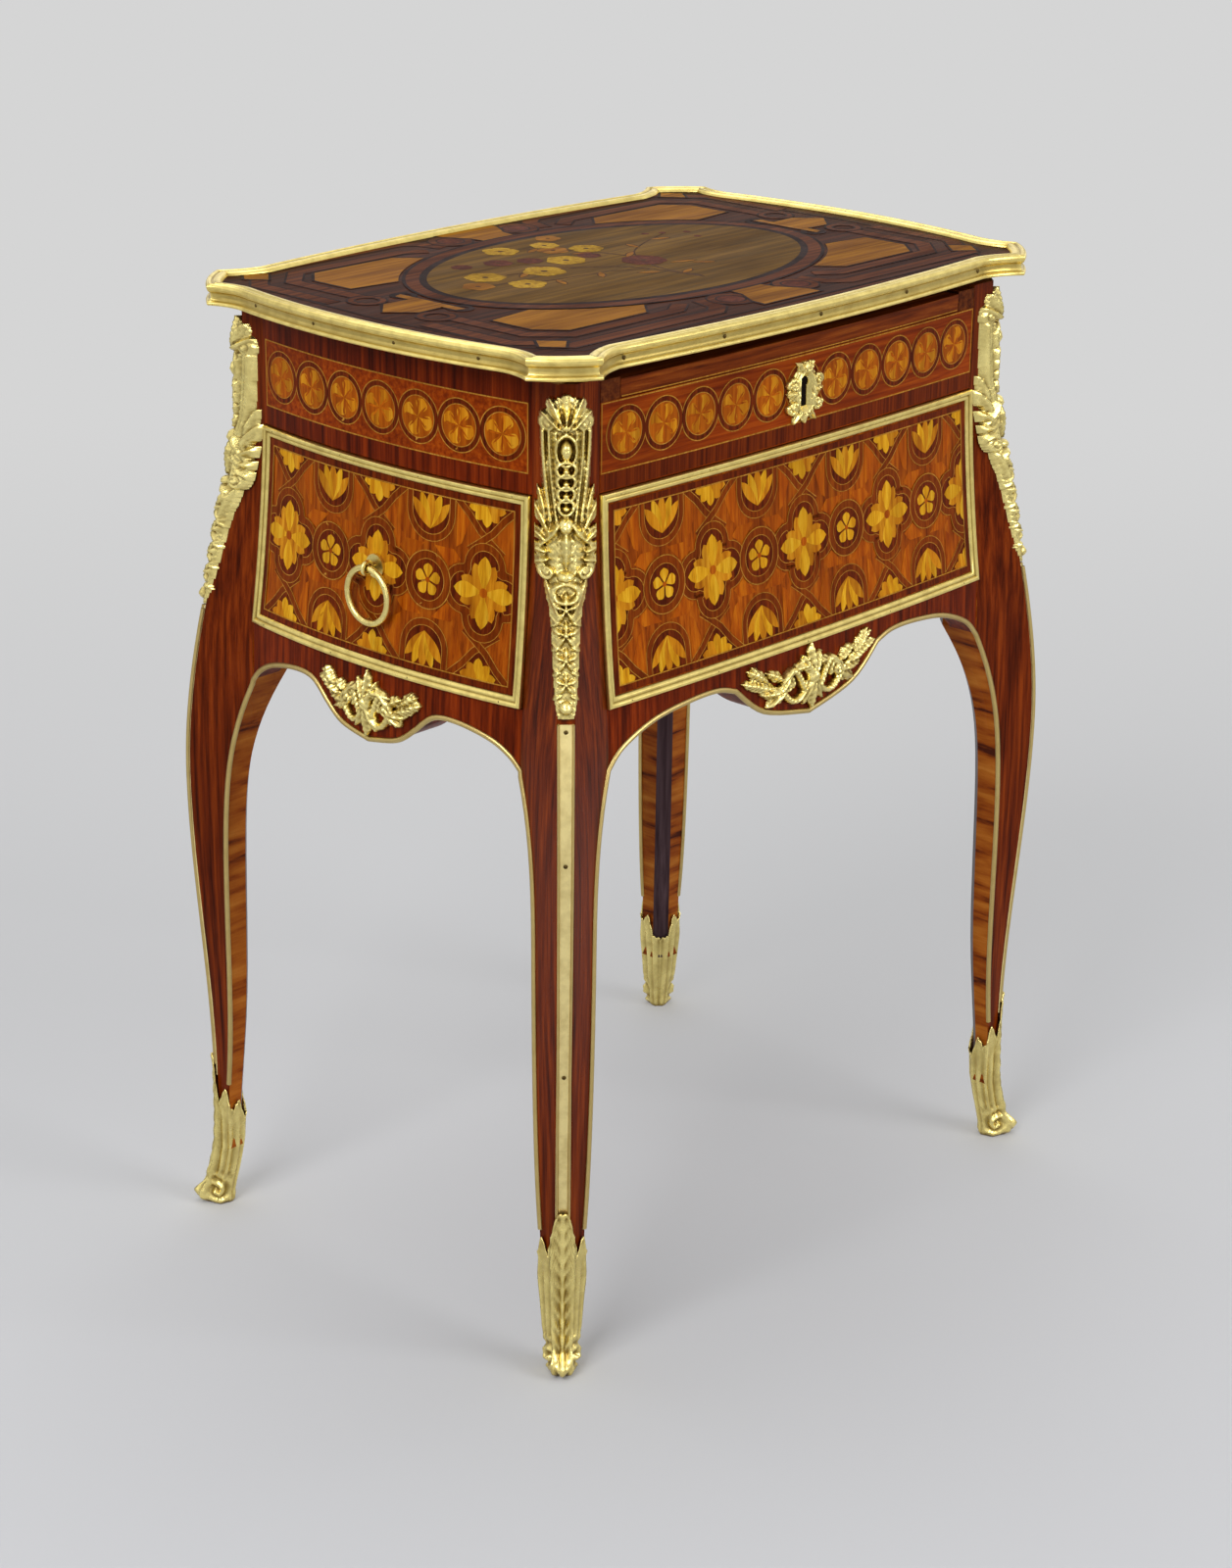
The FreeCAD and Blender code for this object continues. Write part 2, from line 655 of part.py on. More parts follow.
batten_inner = upper_pitch_x + s("tooth_root")
batten_outer = s("inside_x") - s("rail_gap")
batten_half = s("ear_side_y")
batten = rack_teeth(upper_pitch_x, -1.0, -rack_last, -rack_first, batten_outer, batten_base, s("batten_height"))
strip = Part.makeBox(batten_outer - batten_inner, batten_half * 2.0, s("batten_height"),
                     V(batten_inner, -batten_half, batten_base))
lip = Part.makeBox(s("batten_lip"), batten_half * 2.0, s("batten_lip_height"),
                   V(batten_outer, -batten_half, batten_base))
batten = batten.fuse([strip, lip]).removeSplitter()
feature("top_battens", Part.makeCompound([mirrored_x(batten), batten]))

rail_top = batten_top - s("rail_gap")
rail = Part.makeBox(s("face_x") - s("inside_x"), batten_half * 2.0, rail_top - s("carcass_top"),
                    V(s("inside_x"), -batten_half, s("carcass_top")))
groove_top = batten_base + s("batten_lip_height") + s("rail_gap")
groove = Part.makeBox(s("batten_lip"), batten_half * 2.0, groove_top - s("carcass_top"),
                      V(s("inside_x"), -batten_half, s("carcass_top")))
rail = rail.cut(groove)
feature("top_rails", Part.makeCompound([mirrored_x(rail), rail]))

# Top: a shaped board in a gilt rim

side_arc = [(s("side_neck"), -s("neck_side_place")), (s("side_reach"), 0.0), (s("side_neck"), s("neck_side_place"))]
ear_side = (s("ear_width_x"), s("ear_side_y"))
ear_front = (s("ear_front_x"), s("ear_width_y"))
front_end = (s("neck_front_place"), s("front_neck"))


def chord_point(a, b, bulge, share=0.5):
    """Point beside a chord, pushed out to its right."""
    dx, dy = b[0] - a[0], b[1] - a[1]
    length = math.hypot(dx, dy)
    return (a[0] + dx * share + dy / length * bulge, a[1] + dy * share - dx / length * bulge)


def top_outline(level):
    """Plan outline of the top: bowed sides, coved necks and flat ears."""
    quarter = [((s("side_reach"), 0.0), None, side_arc[2]),
               (side_arc[2], chord_point(side_arc[2], ear_side, -s("cove_depth")), ear_side),
               (ear_side, chord_point(ear_side, ear_front, s("ear_bulge")), ear_front),
               (ear_front, chord_point(ear_front, front_end, -s("cove_depth")), front_end)]
    arcs = [side_arc]
    for sx, sy in ((1, 1), (-1, 1), (-1, -1), (1, -1)):
        turn_back = sx * sy < 0
        chain = [[(x * sx, y * sy) for x, y in piece] for piece in quarter[1:]]
        if turn_back:
            chain = [list(reversed(piece)) for piece in reversed(chain)]
        arcs += chain
        if sx > 0 and sy > 0:
            arcs.append([front_end, (0.0, s("front_reach")), (-front_end[0], front_end[1])])
        elif sx < 0 and sy > 0:
            arcs.append([(-x, -y) for x, y in side_arc])
        elif sx < 0:
            arcs.append([(-front_end[0], -front_end[1]), (0.0, -s("front_reach")), (front_end[0], -front_end[1])])
    return Part.Wire([Part.Arc(*[V(x, y, level) for x, y in arc]).toShape() for arc in arcs])


def inset(level, distance):
    """The top's outline moved inwards."""
    wire = top_outline(level)
    return wire if distance == 0.0 else wire.makeOffset2D(-distance, 2)


def layer(distance, base, height):
    """A slice of the top, inset all round."""
    return Part.Face(inset(base, distance)).extrude(V(0, 0, height))


surface_level = s("table_height") - s("rim_stand")
core = layer(s("rim_width"), batten_top, surface_level - batten_top)
feature("top_board", core)
lip_band = layer(0.0, batten_top, s("rim_lip"))
bead_base = s("table_height") - s("rim_bead")
flat_band = layer(s("rim_step"), batten_top + s("rim_lip"), bead_base - batten_top - s("rim_lip"))
bead_band = layer(s("rim_step") / 2.0, bead_base, s("rim_bead"))
hollow = layer(s("rim_width"), batten_top, s("rim_height"))
feature("top_rim", lip_band.fuse([flat_band, bead_band]).cut(hollow))

# Upper drawer

drawer_half = s("post_inner_x") - s("drawer_gap")
wall_inner = drawer_half - s("drawer_side_thick")
drawer_base = s("frieze_base") + s("rail_gap")
front_back = s("face_y") - s("drawer_front_thick")
drawer_rear = s("drawer_depth") - front_back
drawer_front = bowed_board("drawer_front", "post_inner_x - drawer_gap", "face_y", "front_bow",
                           "face_y - drawer_front_thick", "frieze_base + joint_gap", "drawer_face_height", FRONT)
pair("drawer_cheek_blocks", ["cheek_inner_x", "-face_y", "frieze_base + joint_gap + drawer_face_height"],
     ["post_inner_x - drawer_gap", "-face_y + drawer_front_thick",
      "frieze_base + joint_gap + drawer_face_height + cheek_rise"])

wall = Part.makeBox(s("drawer_side_thick"), s("drawer_depth"), face_top - drawer_base,
                    V(wall_inner, -front_back, drawer_base))
cheek_base = cheek_top - s("cheek_height")
cheek = Part.makeBox(s("cheek_thick"), s("drawer_depth"), s("cheek_height"),
                     V(s("cheek_inner_x"), -front_back, cheek_base))
slide_base = face_top + s("slide_gap")
tongue_base = slide_base + s("tongue_drop")
slot = Part.makeBox(s("tongue_width") + s("slide_gap"), s("drawer_depth"), s("tongue_height") + s("slide_gap") * 2.0,
                    V(s("cheek_inner_x"), -front_back, tongue_base - s("slide_gap")))
drawer_side = wall.fuse(cheek).cut(slot).removeSplitter()
feature("drawer_sides", Part.makeCompound([mirrored_x(drawer_side), drawer_side]))

wall_in = "post_inner_x - drawer_gap - drawer_side_thick"
rear = "drawer_depth - face_y + drawer_front_thick"
floor_base = "frieze_base + drawer_lift"
floor_top = floor_base + " + drawer_bottom_thick"
well_top = "frieze_base + joint_gap + drawer_face_height + cheek_rise - cheek_height"
front_in = "-face_y + drawer_front_thick"
keep(box("drawer_back", [f"-({wall_in})", f"{rear} - drawer_back_thick", floor_base],
         [wall_in, rear, well_top]), "drawer_back")
keep(box("drawer_bottom", [f"-({wall_in})", front_in, floor_base],
         [wall_in, f"{rear} - drawer_back_thick", floor_top]), "drawer_bottom")
pair("drawer_partitions", ["partition_place", front_in, floor_top],
     ["partition_place + partition_thick", f"{rear} - drawer_back_thick", well_top])
keep(box("mirror_panel", ["-partition_place + mirror_gap", f"{front_in} + lock_thick + mirror_gap", floor_top],
         ["partition_place - mirror_gap", f"{rear} - drawer_back_thick - mirror_gap", f"{floor_top} + mirror_thick"]),
     "mirror_panel")
keep(box("lock_case", ["-lock_width / 2", front_in, "plate_level - lock_height / 2"],
         ["lock_width / 2", f"{front_in} + lock_thick", "plate_level + lock_height / 2"]), "lock_case")

plate_face = s("face_y") + s("front_bow")
oval = Part.Ellipse(V(), s("plate_height") / 2.0, s("plate_width") / 2.0).toShape()
plate = Part.Face(Part.Wire([oval])).extrude(V(0, 0, s("plate_thick") * 2.0))
plate.rotate(V(), V(0, 0, 1), 90)
plate.rotate(V(), V(1, 0, 0), 90)
plate.translate(V(0, -plate_face + s("plate_thick"), s("plate_level")))
doc.recompute()
plate = plate.cut(drawer_front.Shape)
key_turn = Part.makeCylinder(s("keyhole_radius"), s("overrun") * 2.0, V(0, -plate_face - s("overrun"), s("plate_level")
                             + s("keyhole_radius") * 2.0), V(0, 1, 0))
key_slot = Part.makeBox(s("keyhole_radius"), s("overrun") * 2.0, s("keyhole_radius") * 5.0,
                        V(-s("keyhole_radius") / 2.0, -plate_face - s("overrun"),
                          s("plate_level") - s("keyhole_radius") * 3.0))
feature("escutcheon", plate.cut(key_turn).cut(key_slot))

# Writing slide that runs in the drawer's cheeks

slide_half = s("cheek_inner_x") - s("slide_gap")
slide_rear = s("slide_length") - s("face_y")
slide_face = Part.Face(bowed_wire(slide_half, s("face_y"), s("front_bow"), -slide_rear, slide_base))
board = slide_face.extrude(V(0, 0, s("slide_thick")))
tongue_length = s("slide_length") - s("drawer_front_thick") - s("slide_gap") - s("slide_travel")
tongues = Part.makeBox((slide_half + s("tongue_width")) * 2.0, tongue_length, s("tongue_height"),
                       V(-slide_half - s("tongue_width"), slide_rear - tongue_length, tongue_base))
feature("writing_slide", board.fuse(tongues).removeSplitter())

# Side drawer behind the left panel

feature("side_drawer_front", panel_slab(False, s("joint_gap"), 0.0), turned(LEFT))
feature("side_drawer_frame", panel_frame(False, s("joint_gap")), turned(LEFT))
deep_low, deep_high = "-inside_x", "side_drawer_length - inside_x"
tray_base = "panel_base + runner_thick + rail_gap"
tray_top = tray_base + " + side_drawer_height"
side_walls = [box("side_drawer_wall_back", [deep_low, "side_drawer_half - side_drawer_wall", tray_base],
                  [deep_high, "side_drawer_half", tray_top]),
              box("side_drawer_wall_front", [deep_low, "-side_drawer_half", tray_base],
                  [deep_high, "-side_drawer_half + side_drawer_wall", tray_top])]
keep(combine("Part::Compound", "side_drawer_sides", side_walls), "side_drawer_sides")
tray_in = "side_drawer_half - side_drawer_wall"
tray_floor = "panel_base + runner_thick + runner_thick"
keep(box("side_drawer_end", [f"{deep_high} - side_drawer_wall", f"-({tray_in})", tray_floor],
         [deep_high, tray_in, tray_top]), "side_drawer_end")
keep(box("side_drawer_bottom", [deep_low, f"-({tray_in})", tray_floor],
         [f"{deep_high} - side_drawer_wall", tray_in, f"{tray_floor} + side_drawer_bottom_thick"]), "side_drawer_bottom")

# Ring handle on its rosette

ring_face = s("face_x") + s("side_bow") + lean(s("ring_level"))
ring_x = ring_face + s("ring_stand") + s("rosette_thick") / 2.0
rosette = Part.makeCylinder(s("rosette_radius"), s("rosette_thick") * 2.0,
                            V(-ring_face - s("rosette_thick"), 0, s("ring_level")), V(1, 0, 0))
rosette = rosette.cut(panel_slab(False, s("joint_gap"), 0.0).rotated(V(), V(0, 0, 1), LEFT))
eye_radius = s("ring_wire") + s("eye_gap") + s("eye_wire")
eye = Part.makeTorus(eye_radius, s("eye_wire"), V(-ring_x, 0, s("ring_level")), V(0, 1, 0))
neck_from = ring_x - eye_radius
neck = Part.makeCylinder(s("eye_wire"), neck_from - ring_face - s("rosette_thick") / 2.0,
                         V(-neck_from, 0, s("ring_level")), V(1, 0, 0))
feature("ring_rosette", rosette.fuse([eye, neck]))
feature("ring_handle", Part.makeTorus(s("ring_radius"), s("ring_wire"),
                                      V(-ring_x, 0, s("ring_level") - s("ring_radius")), V(1, 0, 0)))

# Checks and export

doc.recompute()
faults = [o.Label for o in doc.Objects if "Invalid" in o.State or "Error" in o.State]
for part in parts:
    if part.Shape.isNull() or not part.Shape.isValid() or not part.Shape.Solids:
        faults.append(part.Label)
if faults:
    raise RuntimeError("faulty objects: " + ", ".join(sorted(set(faults))))
os.makedirs("parts", exist_ok=True)
for part in parts:
    part.Shape.exportStep(f"parts/{part.Label}.step")
print(len(parts), "sub-parts written")
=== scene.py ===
import math
import bpy
import bmesh
import numpy as np
from mathutils import Matrix, Vector
from mathutils.bvhtree import BVHTree


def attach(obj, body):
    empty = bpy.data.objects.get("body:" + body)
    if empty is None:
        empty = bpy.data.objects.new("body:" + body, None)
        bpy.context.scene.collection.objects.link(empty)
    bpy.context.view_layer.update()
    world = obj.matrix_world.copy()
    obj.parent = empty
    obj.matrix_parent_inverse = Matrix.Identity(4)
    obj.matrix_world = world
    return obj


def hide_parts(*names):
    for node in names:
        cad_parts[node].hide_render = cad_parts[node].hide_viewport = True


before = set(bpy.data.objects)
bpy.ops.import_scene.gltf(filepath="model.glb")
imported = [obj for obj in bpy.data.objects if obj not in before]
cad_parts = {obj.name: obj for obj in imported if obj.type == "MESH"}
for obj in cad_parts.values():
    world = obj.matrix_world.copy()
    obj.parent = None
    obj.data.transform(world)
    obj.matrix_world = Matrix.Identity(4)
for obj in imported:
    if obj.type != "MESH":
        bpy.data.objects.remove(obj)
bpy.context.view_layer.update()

MM = 0.001
POST_X, POST_Y = 228.0, 157.5
LONG_HALF, SHORT_HALF = 197.2, 127.7
CASE_TOP, CASE_LOW = 612.0, 470.0
APRON_TOP, KNEE_Z, ANKLE_Z = 428.0, 350.0, 107.0
SLANT = 0.70711
CORNERS = {"front_left": (-1, -1), "front_right": (1, -1), "back_left": (-1, 1), "back_right": (1, 1)}
SIDES = {"front": 0, "right": 90, "back": 180, "left": 270}


# Shape of the carcass, in millimetres, as in the CAD

def lean(z):
    fall = np.maximum((CASE_TOP - z) / 142.0, 0.0)
    return 12.5 * (0.45 * fall + 0.55 * np.minimum(fall, 1.0) ** 2)


def spread(z):
    return 3.8 * np.clip((CASE_TOP - z) / 142.0, 0.0, 1.0)


def knee(z):
    share = np.clip((CASE_TOP - z) / 262.0, 0.0, 1.0)
    high = 33.0 * (0.4 * share * share * (3.0 - 2.0 * share) + 0.6 * (1.0 - (1.0 - share) ** 2))
    low = np.clip((KNEE_Z - z) / 243.0, 0.0, 1.0)
    return np.where(z >= KNEE_Z, high, 33.0 - 8.5 * low * low * (3.0 - 2.0 * low))


def inner_edge(z):
    """Distance from a leg's corner to its inner edge, and how far its face falls back there."""
    below = max(z - ANKLE_Z, 0.0) / 321.0
    at_apron = POST_X + float(knee(APRON_TOP)) - LONG_HALF - 3.8
    arch = max(1.0 - (APRON_TOP - z) / 130.0, 0.0)
    depth = 21.0 + 21.0 * below ** 0.8 + (at_apron - 42.0) * arch ** 3
    return depth, float(knee(APRON_TOP) - lean(APRON_TOP)) * below ** 1.4


def bow(u, half, rise):
    return rise * (1.0 - (u / half) ** 2)


def face_out(side, u, z):
    """How far a face stands out from the middle of the table."""
    if side in ("front", "back"):
        return POST_Y + lean(z) + bow(u, LONG_HALF + spread(z), 5.0)
    return POST_X + lean(z) + bow(u, SHORT_HALF + spread(z), 12.0)


def on_side(side, u, out, z):
    """A point of a face: u runs to the right seen from outside."""
    angle = math.radians(SIDES[side])
    c, s = math.cos(angle), math.sin(angle)
    x, y = u, -out
    return np.stack([x * c - y * s, x * s + y * c, z + 0.0 * u], axis=-1)


# Materials

def new_material(name):
    mat = bpy.data.materials.new(name)
    mat.use_nodes = True
    nodes = mat.node_tree.nodes
    return mat, nodes, mat.node_tree.links, nodes["Principled BSDF"]


def noise(nodes, links, coords, scale, detail, rough, stretch, seed=0.0):
    mapping = nodes.new("ShaderNodeMapping")
    mapping.inputs["Scale"].default_value = stretch
    mapping.inputs["Location"].default_value = (seed, seed * 0.7, seed * 1.3)
    links.new(coords, mapping.inputs["Vector"])
    tex = nodes.new("ShaderNodeTexNoise")
    tex.inputs["Scale"].default_value = scale
    tex.inputs["Detail"].default_value = detail
    tex.inputs["Roughness"].default_value = rough
    links.new(mapping.outputs["Vector"], tex.inputs["Vector"])
    return tex.outputs["Fac"]


def ramp(nodes, links, fac, stops):
    r = nodes.new("ShaderNodeValToRGB")
    while len(r.color_ramp.elements) < len(stops):
        r.color_ramp.elements.new(0.5)
    for element, (place, colour) in zip(r.color_ramp.elements, stops):
        element.position = place
        element.color = (*colour, 1.0)
    links.new(fac, r.inputs["Fac"])
    return r.outputs["Color"]


def mix(nodes, links, fac, a, b, mode="MIX"):
    m = nodes.new("ShaderNodeMix")
    m.data_type = "RGBA"
    m.blend_type = mode
    if isinstance(fac, float):
        m.inputs[0].default_value = fac
    else:
        links.new(fac, m.inputs[0])
    for socket, value in ((m.inputs[6], a), (m.inputs[7], b)):
        if isinstance(value, tuple):
            socket.default_value = (*value, 1.0)
        else:
            links.new(value, socket)
    return m.outputs[2]


def maths(nodes, links, kind, a, b=None):
    m = nodes.new("ShaderNodeMath")
    m.operation = kind
    for socket, value in zip(m.inputs, (a, b)):
        if value is None:
            continue
        if isinstance(value, (int, float)):
            socket.default_value = value
        else:
            links.new(value, socket)
    return m.outputs[0]


def bump(nodes, links, bsdf, height, strength, distance):
    b = nodes.new("ShaderNodeBump")
    b.inputs["Strength"].default_value = strength
    b.inputs["Distance"].default_value = distance
    links.new(height, b.inputs["Height"])
    links.new(b.outputs["Normal"], bsdf.inputs["Normal"])


def lin(r, g, b):
    """Colour from screen values of 0 to 255."""
    return tuple((v / 255.0 / 12.92) if v < 10.3 else ((v / 255.0 + 0.055) / 1.055) ** 2.4 for v in (r,
        g, b))


def wood(name, dark, mid, light, along="z", fine=260.0, polish=0.3, seed=0.0, contrast=1.0, shine=0.05):
    """Veneer: streaks along the grain, broad shading, pores and a clear polish."""
    mat, nodes, links, bsdf = new_material(name)
    coords = nodes.new("ShaderNodeTexCoord").outputs["Object"]
    stretch = [1.0, 1.0, 1.0]
    stretch["xyz".index(along)] = 9.0 / fine
    streaks = noise(nodes, links, coords, fine, 6.0, 0.62, stretch, seed)
    wide = [1.0, 1.0, 1.0]
    wide["xyz".index(along)] = 0.18
    broad = noise(nodes, links, coords, 34.0, 3.0, 0.55, wide, seed + 3.0)
    lo, hi = 0.5 - 0.17 / contrast, 0.5 + 0.17 / contrast
    base = ramp(nodes, links, streaks, [(lo, dark), (0.5, mid), (hi, light)])
    shade = ramp(nodes, links, broad,
        [(0.3, (0.62, 0.58, 0.56)), (0.55, (1.0, 1.0, 1.0)), (0.75, (1.12, 1.1, 1.05))])
    colour = mix(nodes, links, 0.85, base, shade, "MULTIPLY")
    pores = noise(nodes, links, coords, 900.0, 2.0, 0.5, stretch, seed + 7.0)
    pore_dark = ramp(nodes, links, pores, [(0.3, (0.5, 0.45, 0.42)), (0.4, (1.0, 1.0, 1.0))])
    colour = mix(nodes, links, 0.5, colour, pore_dark, "MULTIPLY")
    links.new(colour, bsdf.inputs["Base Color"])
    rough = ramp(nodes, links, broad, [(0.2, (polish + 0.1,) * 3), (0.8, (polish - 0.04,) * 3)])
    links.new(rough, bsdf.inputs["Roughness"])
    bsdf.inputs["Specular IOR Level"].default_value = shine
    bump(nodes, links, bsdf, streaks, 0.12, 0.0004)
    return mat


def gilt(name, bright, deep, rough=0.27, chase=0.0, cavity_shade_reach=0.0):
    """Gilt bronze: pale gold with fine chasing; painted shade darkens it to olive in the hollows, and painted
    shadow darkens cavities when a reach is given.
    """
    mat, nodes, links, bsdf = new_material(name)
    coords = nodes.new("ShaderNodeTexCoord").outputs["Object"]
    wear = noise(nodes, links, coords, 90.0, 4.0, 0.6, (1.0, 1.0, 1.0))
    point = nodes.new("ShaderNodeNewGeometry").outputs["Pointiness"]
    # Painted shade: concave places (low pointiness) are mixed 70% towards the deep olive colour.
    crease_shade = ramp(nodes, links, point, [(0.455, (0.0,) * 3), (0.515, (1.0,) * 3)])
    patchy = ramp(nodes, links, wear, [(0.35, deep), (0.6, bright)])
    colour = mix(nodes, links, 0.35, bright, patchy)
    colour = mix(nodes, links, crease_shade, mix(nodes, links, 0.7, colour, deep), colour)
    if cavity_shade_reach:
        # Painted shadow: an ambient-occlusion mask within the given reach darkens cavities towards brown.
        cavity_shade_ao = nodes.new("ShaderNodeAmbientOcclusion")
        cavity_shade_ao.samples = 4
        cavity_shade_ao.inputs["Distance"].default_value = cavity_shade_reach
        opened = ramp(nodes, links, cavity_shade_ao.outputs["AO"], [(0.22, (0.0,) * 3), (0.78, (1.0,) * 3)])
        shadow = mix(nodes, links, 1.0, colour, (0.3, 0.22, 0.1), "MULTIPLY")
        colour = mix(nodes, links, opened, shadow, colour)
    links.new(colour, bsdf.inputs["Base Color"])
    bsdf.inputs["Metallic"].default_value = 1.0
    r = ramp(nodes, links, wear, [(0.3, (rough + 0.12,) * 3), (0.7, (rough,) * 3)])
    links.new(r, bsdf.inputs["Roughness"])
    grain = noise(nodes, links, coords, 700.0, 3.0, 0.6, (1.0, 1.0, 1.0))
    bump(nodes, links, bsdf, grain, 0.12 + chase, 0.0005)
    return mat


# GOLD_DEEP is the olive of the painted shade in the hollows and of the random darker patches.
GOLD, GOLD_DEEP = lin(250, 227, 138), lin(146, 118, 48)
WOODS = {
    "veneer": ((60, 14, 1), (102, 31, 3), (134, 49, 7), dict(seed=1.0)),
    "veneer_rail": ((62, 15, 1), (106, 33, 3), (140, 52, 8), dict(along="z", seed=5.0)),
    "panel_ground": ((112, 44, 2), (154, 70, 6), (182, 96, 14), dict(fine=300.0, seed=2.0)),
    "drawer_ground": ((106, 34, 1), (138, 52, 3), (162, 72, 8), dict(along="x", seed=3.0)),
    "band": ((92, 34, 1), (120, 49, 3), (144, 68, 8), dict(fine=420.0, seed=4.0, contrast=0.8)),
    "dark_band": ((66, 18, 1), (100, 34, 2), (126, 50, 5), dict(fine=420.0, seed=6.0)),
    "line": ((150, 94, 24), (176, 120, 40), (196, 142, 58), dict(fine=500.0, seed=8.0)),
    "amber": ((164, 90, 8), (196, 124, 16), (216, 152, 34), dict(fine=240.0, seed=9.0)),
    "yellow": ((182, 114, 10), (210, 150, 22), (228, 176, 44), dict(fine=260.0, seed=10.0)),
    "orange": ((140, 56, 3), (170, 80, 5), (192, 104, 12), dict(fine=260.0, seed=11.0)),
    "disc": ((134, 58, 3), (164, 80, 6), (186, 100, 12), dict(fine=260.0, seed=23.0)),
    "top_ground": ((34, 12, 4), (56, 24, 7), (76, 35, 12), dict(shine=0.005, along="x", seed=12.0)),
    "top_band": ((54, 20, 3), (80, 35, 6), (100, 50, 11), dict(shine=0.005, along="x", seed=13.0)),
    "top_line": ((22, 7, 4), (34, 12, 8), (46, 20, 12), dict(shine=0.005, seed=14.0)),
    "ochre": ((100, 56, 2), (130, 80, 4), (150, 98, 10),
    dict(shine=0.005, along="x", fine=200.0, seed=15.0)),
    "olive": ((72, 48, 4), (92, 62, 7), (110, 77, 12), dict(shine=0.005, along="x", fine=180.0, seed=16.0)),
    "stem": ((44, 22, 6), (66, 37, 10), (86, 53, 17), dict(shine=0.005, seed=17.0)),
    "petal": ((132, 96, 10), (160, 121, 18), (178, 142, 30), dict(shine=0.005, fine=300.0, seed=18.0)),
    "rosewood": ((58, 20, 7), (80, 31, 11), (98, 44, 18), dict(shine=0.005, seed=19.0)),
    "slide": ((80, 28, 4), (122, 52, 10), (152, 78, 22), dict(along="x", seed=20.0)),
    "cheek": ((56, 20, 5), (88, 38, 10), (112, 56, 18), dict(along="y", seed=21.0)),
    "oak": ((120, 78, 36), (156, 110, 56), (182, 138, 78), dict(along="y", polish=0.5, seed=22.0)),
    "oak_across": ((120, 78, 36), (156, 110, 56), (182, 138, 78), dict(along="x", polish=0.5, seed=25.0)),
    # Painted shade: near-black colour for the keyhole's shadowed inside.
    "keyhole_shade": ((10, 6, 4), (16, 9, 6), (24, 14, 8), dict(polish=0.7, seed=24.0)),
}
MATS = {name: wood(name, lin(*dark), lin(*mid), lin(*light), **more) for name,
    (dark, mid, light, more) in WOODS.items()}
MATS.update({
    # gilt and gilt_relief get painted shadow in their cavities (ambient occlusion); every gilt material gets
    # painted shade in its hollows.
    "gilt": gilt("gilt", GOLD, GOLD_DEEP, cavity_shade_reach=0.004),
    "gilt_relief": gilt("gilt_relief", lin(255, 236, 152), lin(140, 108, 36), rough=0.22, chase=0.15,
    cavity_shade_reach=0.006),
    "gilt_strip": gilt("gilt_strip", lin(250, 230, 160), lin(178, 150, 86), rough=0.3),
    "steel": gilt("steel", lin(150, 150, 150), lin(90, 88, 86), rough=0.35),
    "screw": gilt("screw", lin(92, 74, 40), lin(44, 34, 18), rough=0.4),
})


def leg_material(name, sx, sy):
    """Red veneer on the outer faces, cross-grained orange wood inside and a dark strip between."""
    mat, nodes, links, bsdf = new_material(name)
    tc = nodes.new("ShaderNodeTexCoord")
    coords = tc.outputs["Object"]
    normal = nodes.new("ShaderNodeSeparateXYZ")
    links.new(tc.outputs["Normal"], normal.inputs[0])
    total = maths(nodes, links, "ADD", maths(nodes, links, "MULTIPLY", normal.outputs[0], float(sx)),
                  maths(nodes, links, "MULTIPLY", normal.outputs[1], float(sy)))
    fine = noise(nodes, links, coords, 260.0, 6.0, 0.62, (1.0, 1.0, 0.034), 1.0)
    outer = ramp(nodes, links, fine,
        [(0.33, lin(60, 16, 1)), (0.5, lin(102, 35, 4)), (0.67, lin(136, 56, 10))])
    across = noise(nodes, links, coords, 120.0, 5.0, 0.6, (0.12, 0.12, 1.0), 2.0)
    inner = ramp(nodes, links, across,
        [(0.32, lin(70, 24, 8)), (0.42, lin(142, 66, 12)), (0.58, lin(174, 98, 28)),
                                        (0.75, lin(194, 124, 48))])
    strip = ramp(nodes, links, fine, [(0.3, lin(46, 30, 34)), (0.7, lin(92, 72, 76))])
    inside = mix(nodes, links, maths(nodes, links, "LESS_THAN", total, -1.25), inner, strip)
    colour = mix(nodes, links, maths(nodes, links, "GREATER_THAN", total, 0.0), inside, outer)
    broad = noise(nodes, links, coords, 20.0, 3.0, 0.5, (1.0, 1.0, 0.3), 4.0)
    shade = ramp(nodes, links, broad, [(0.3, (0.68, 0.64, 0.62)), (0.6, (1.0, 1.0, 1.0))])
    colour = mix(nodes, links, 0.8, colour, shade, "MULTIPLY")
    links.new(colour, bsdf.inputs["Base Color"])
    links.new(ramp(nodes, links, broad, [(0.2, (0.36,) * 3), (0.8, (0.24,) * 3)]), bsdf.inputs["Roughness"])
    bsdf.inputs["Specular IOR Level"].default_value = 0.06
    bump(nodes, links, bsdf, fine, 0.12, 0.0004)
    return mat


def mirror_material():
    mat, nodes, links, bsdf = new_material("mirror_glass")
    coords = nodes.new("ShaderNodeTexCoord").outputs["Object"]
    haze = noise(nodes, links, coords, 30.0, 4.0, 0.6, (1.0, 1.0, 1.0))
    links.new(ramp(nodes, links, haze, [(0.3, (0.62, 0.64, 0.64)), (0.7, (0.85, 0.87, 0.87))]),
        bsdf.inputs["Base Color"])
    links.new(ramp(nodes, links, haze, [(0.4, (0.04,) * 3), (0.8, (0.14,) * 3)]), bsdf.inputs["Roughness"])
    bsdf.inputs["Metallic"].default_value = 1.0
    return mat


MATS["mirror"] = mirror_material()
for corner, (sx, sy) in CORNERS.items():
    MATS["leg_" + corner] = leg_material("leg_wood_" + corner, sx, sy)

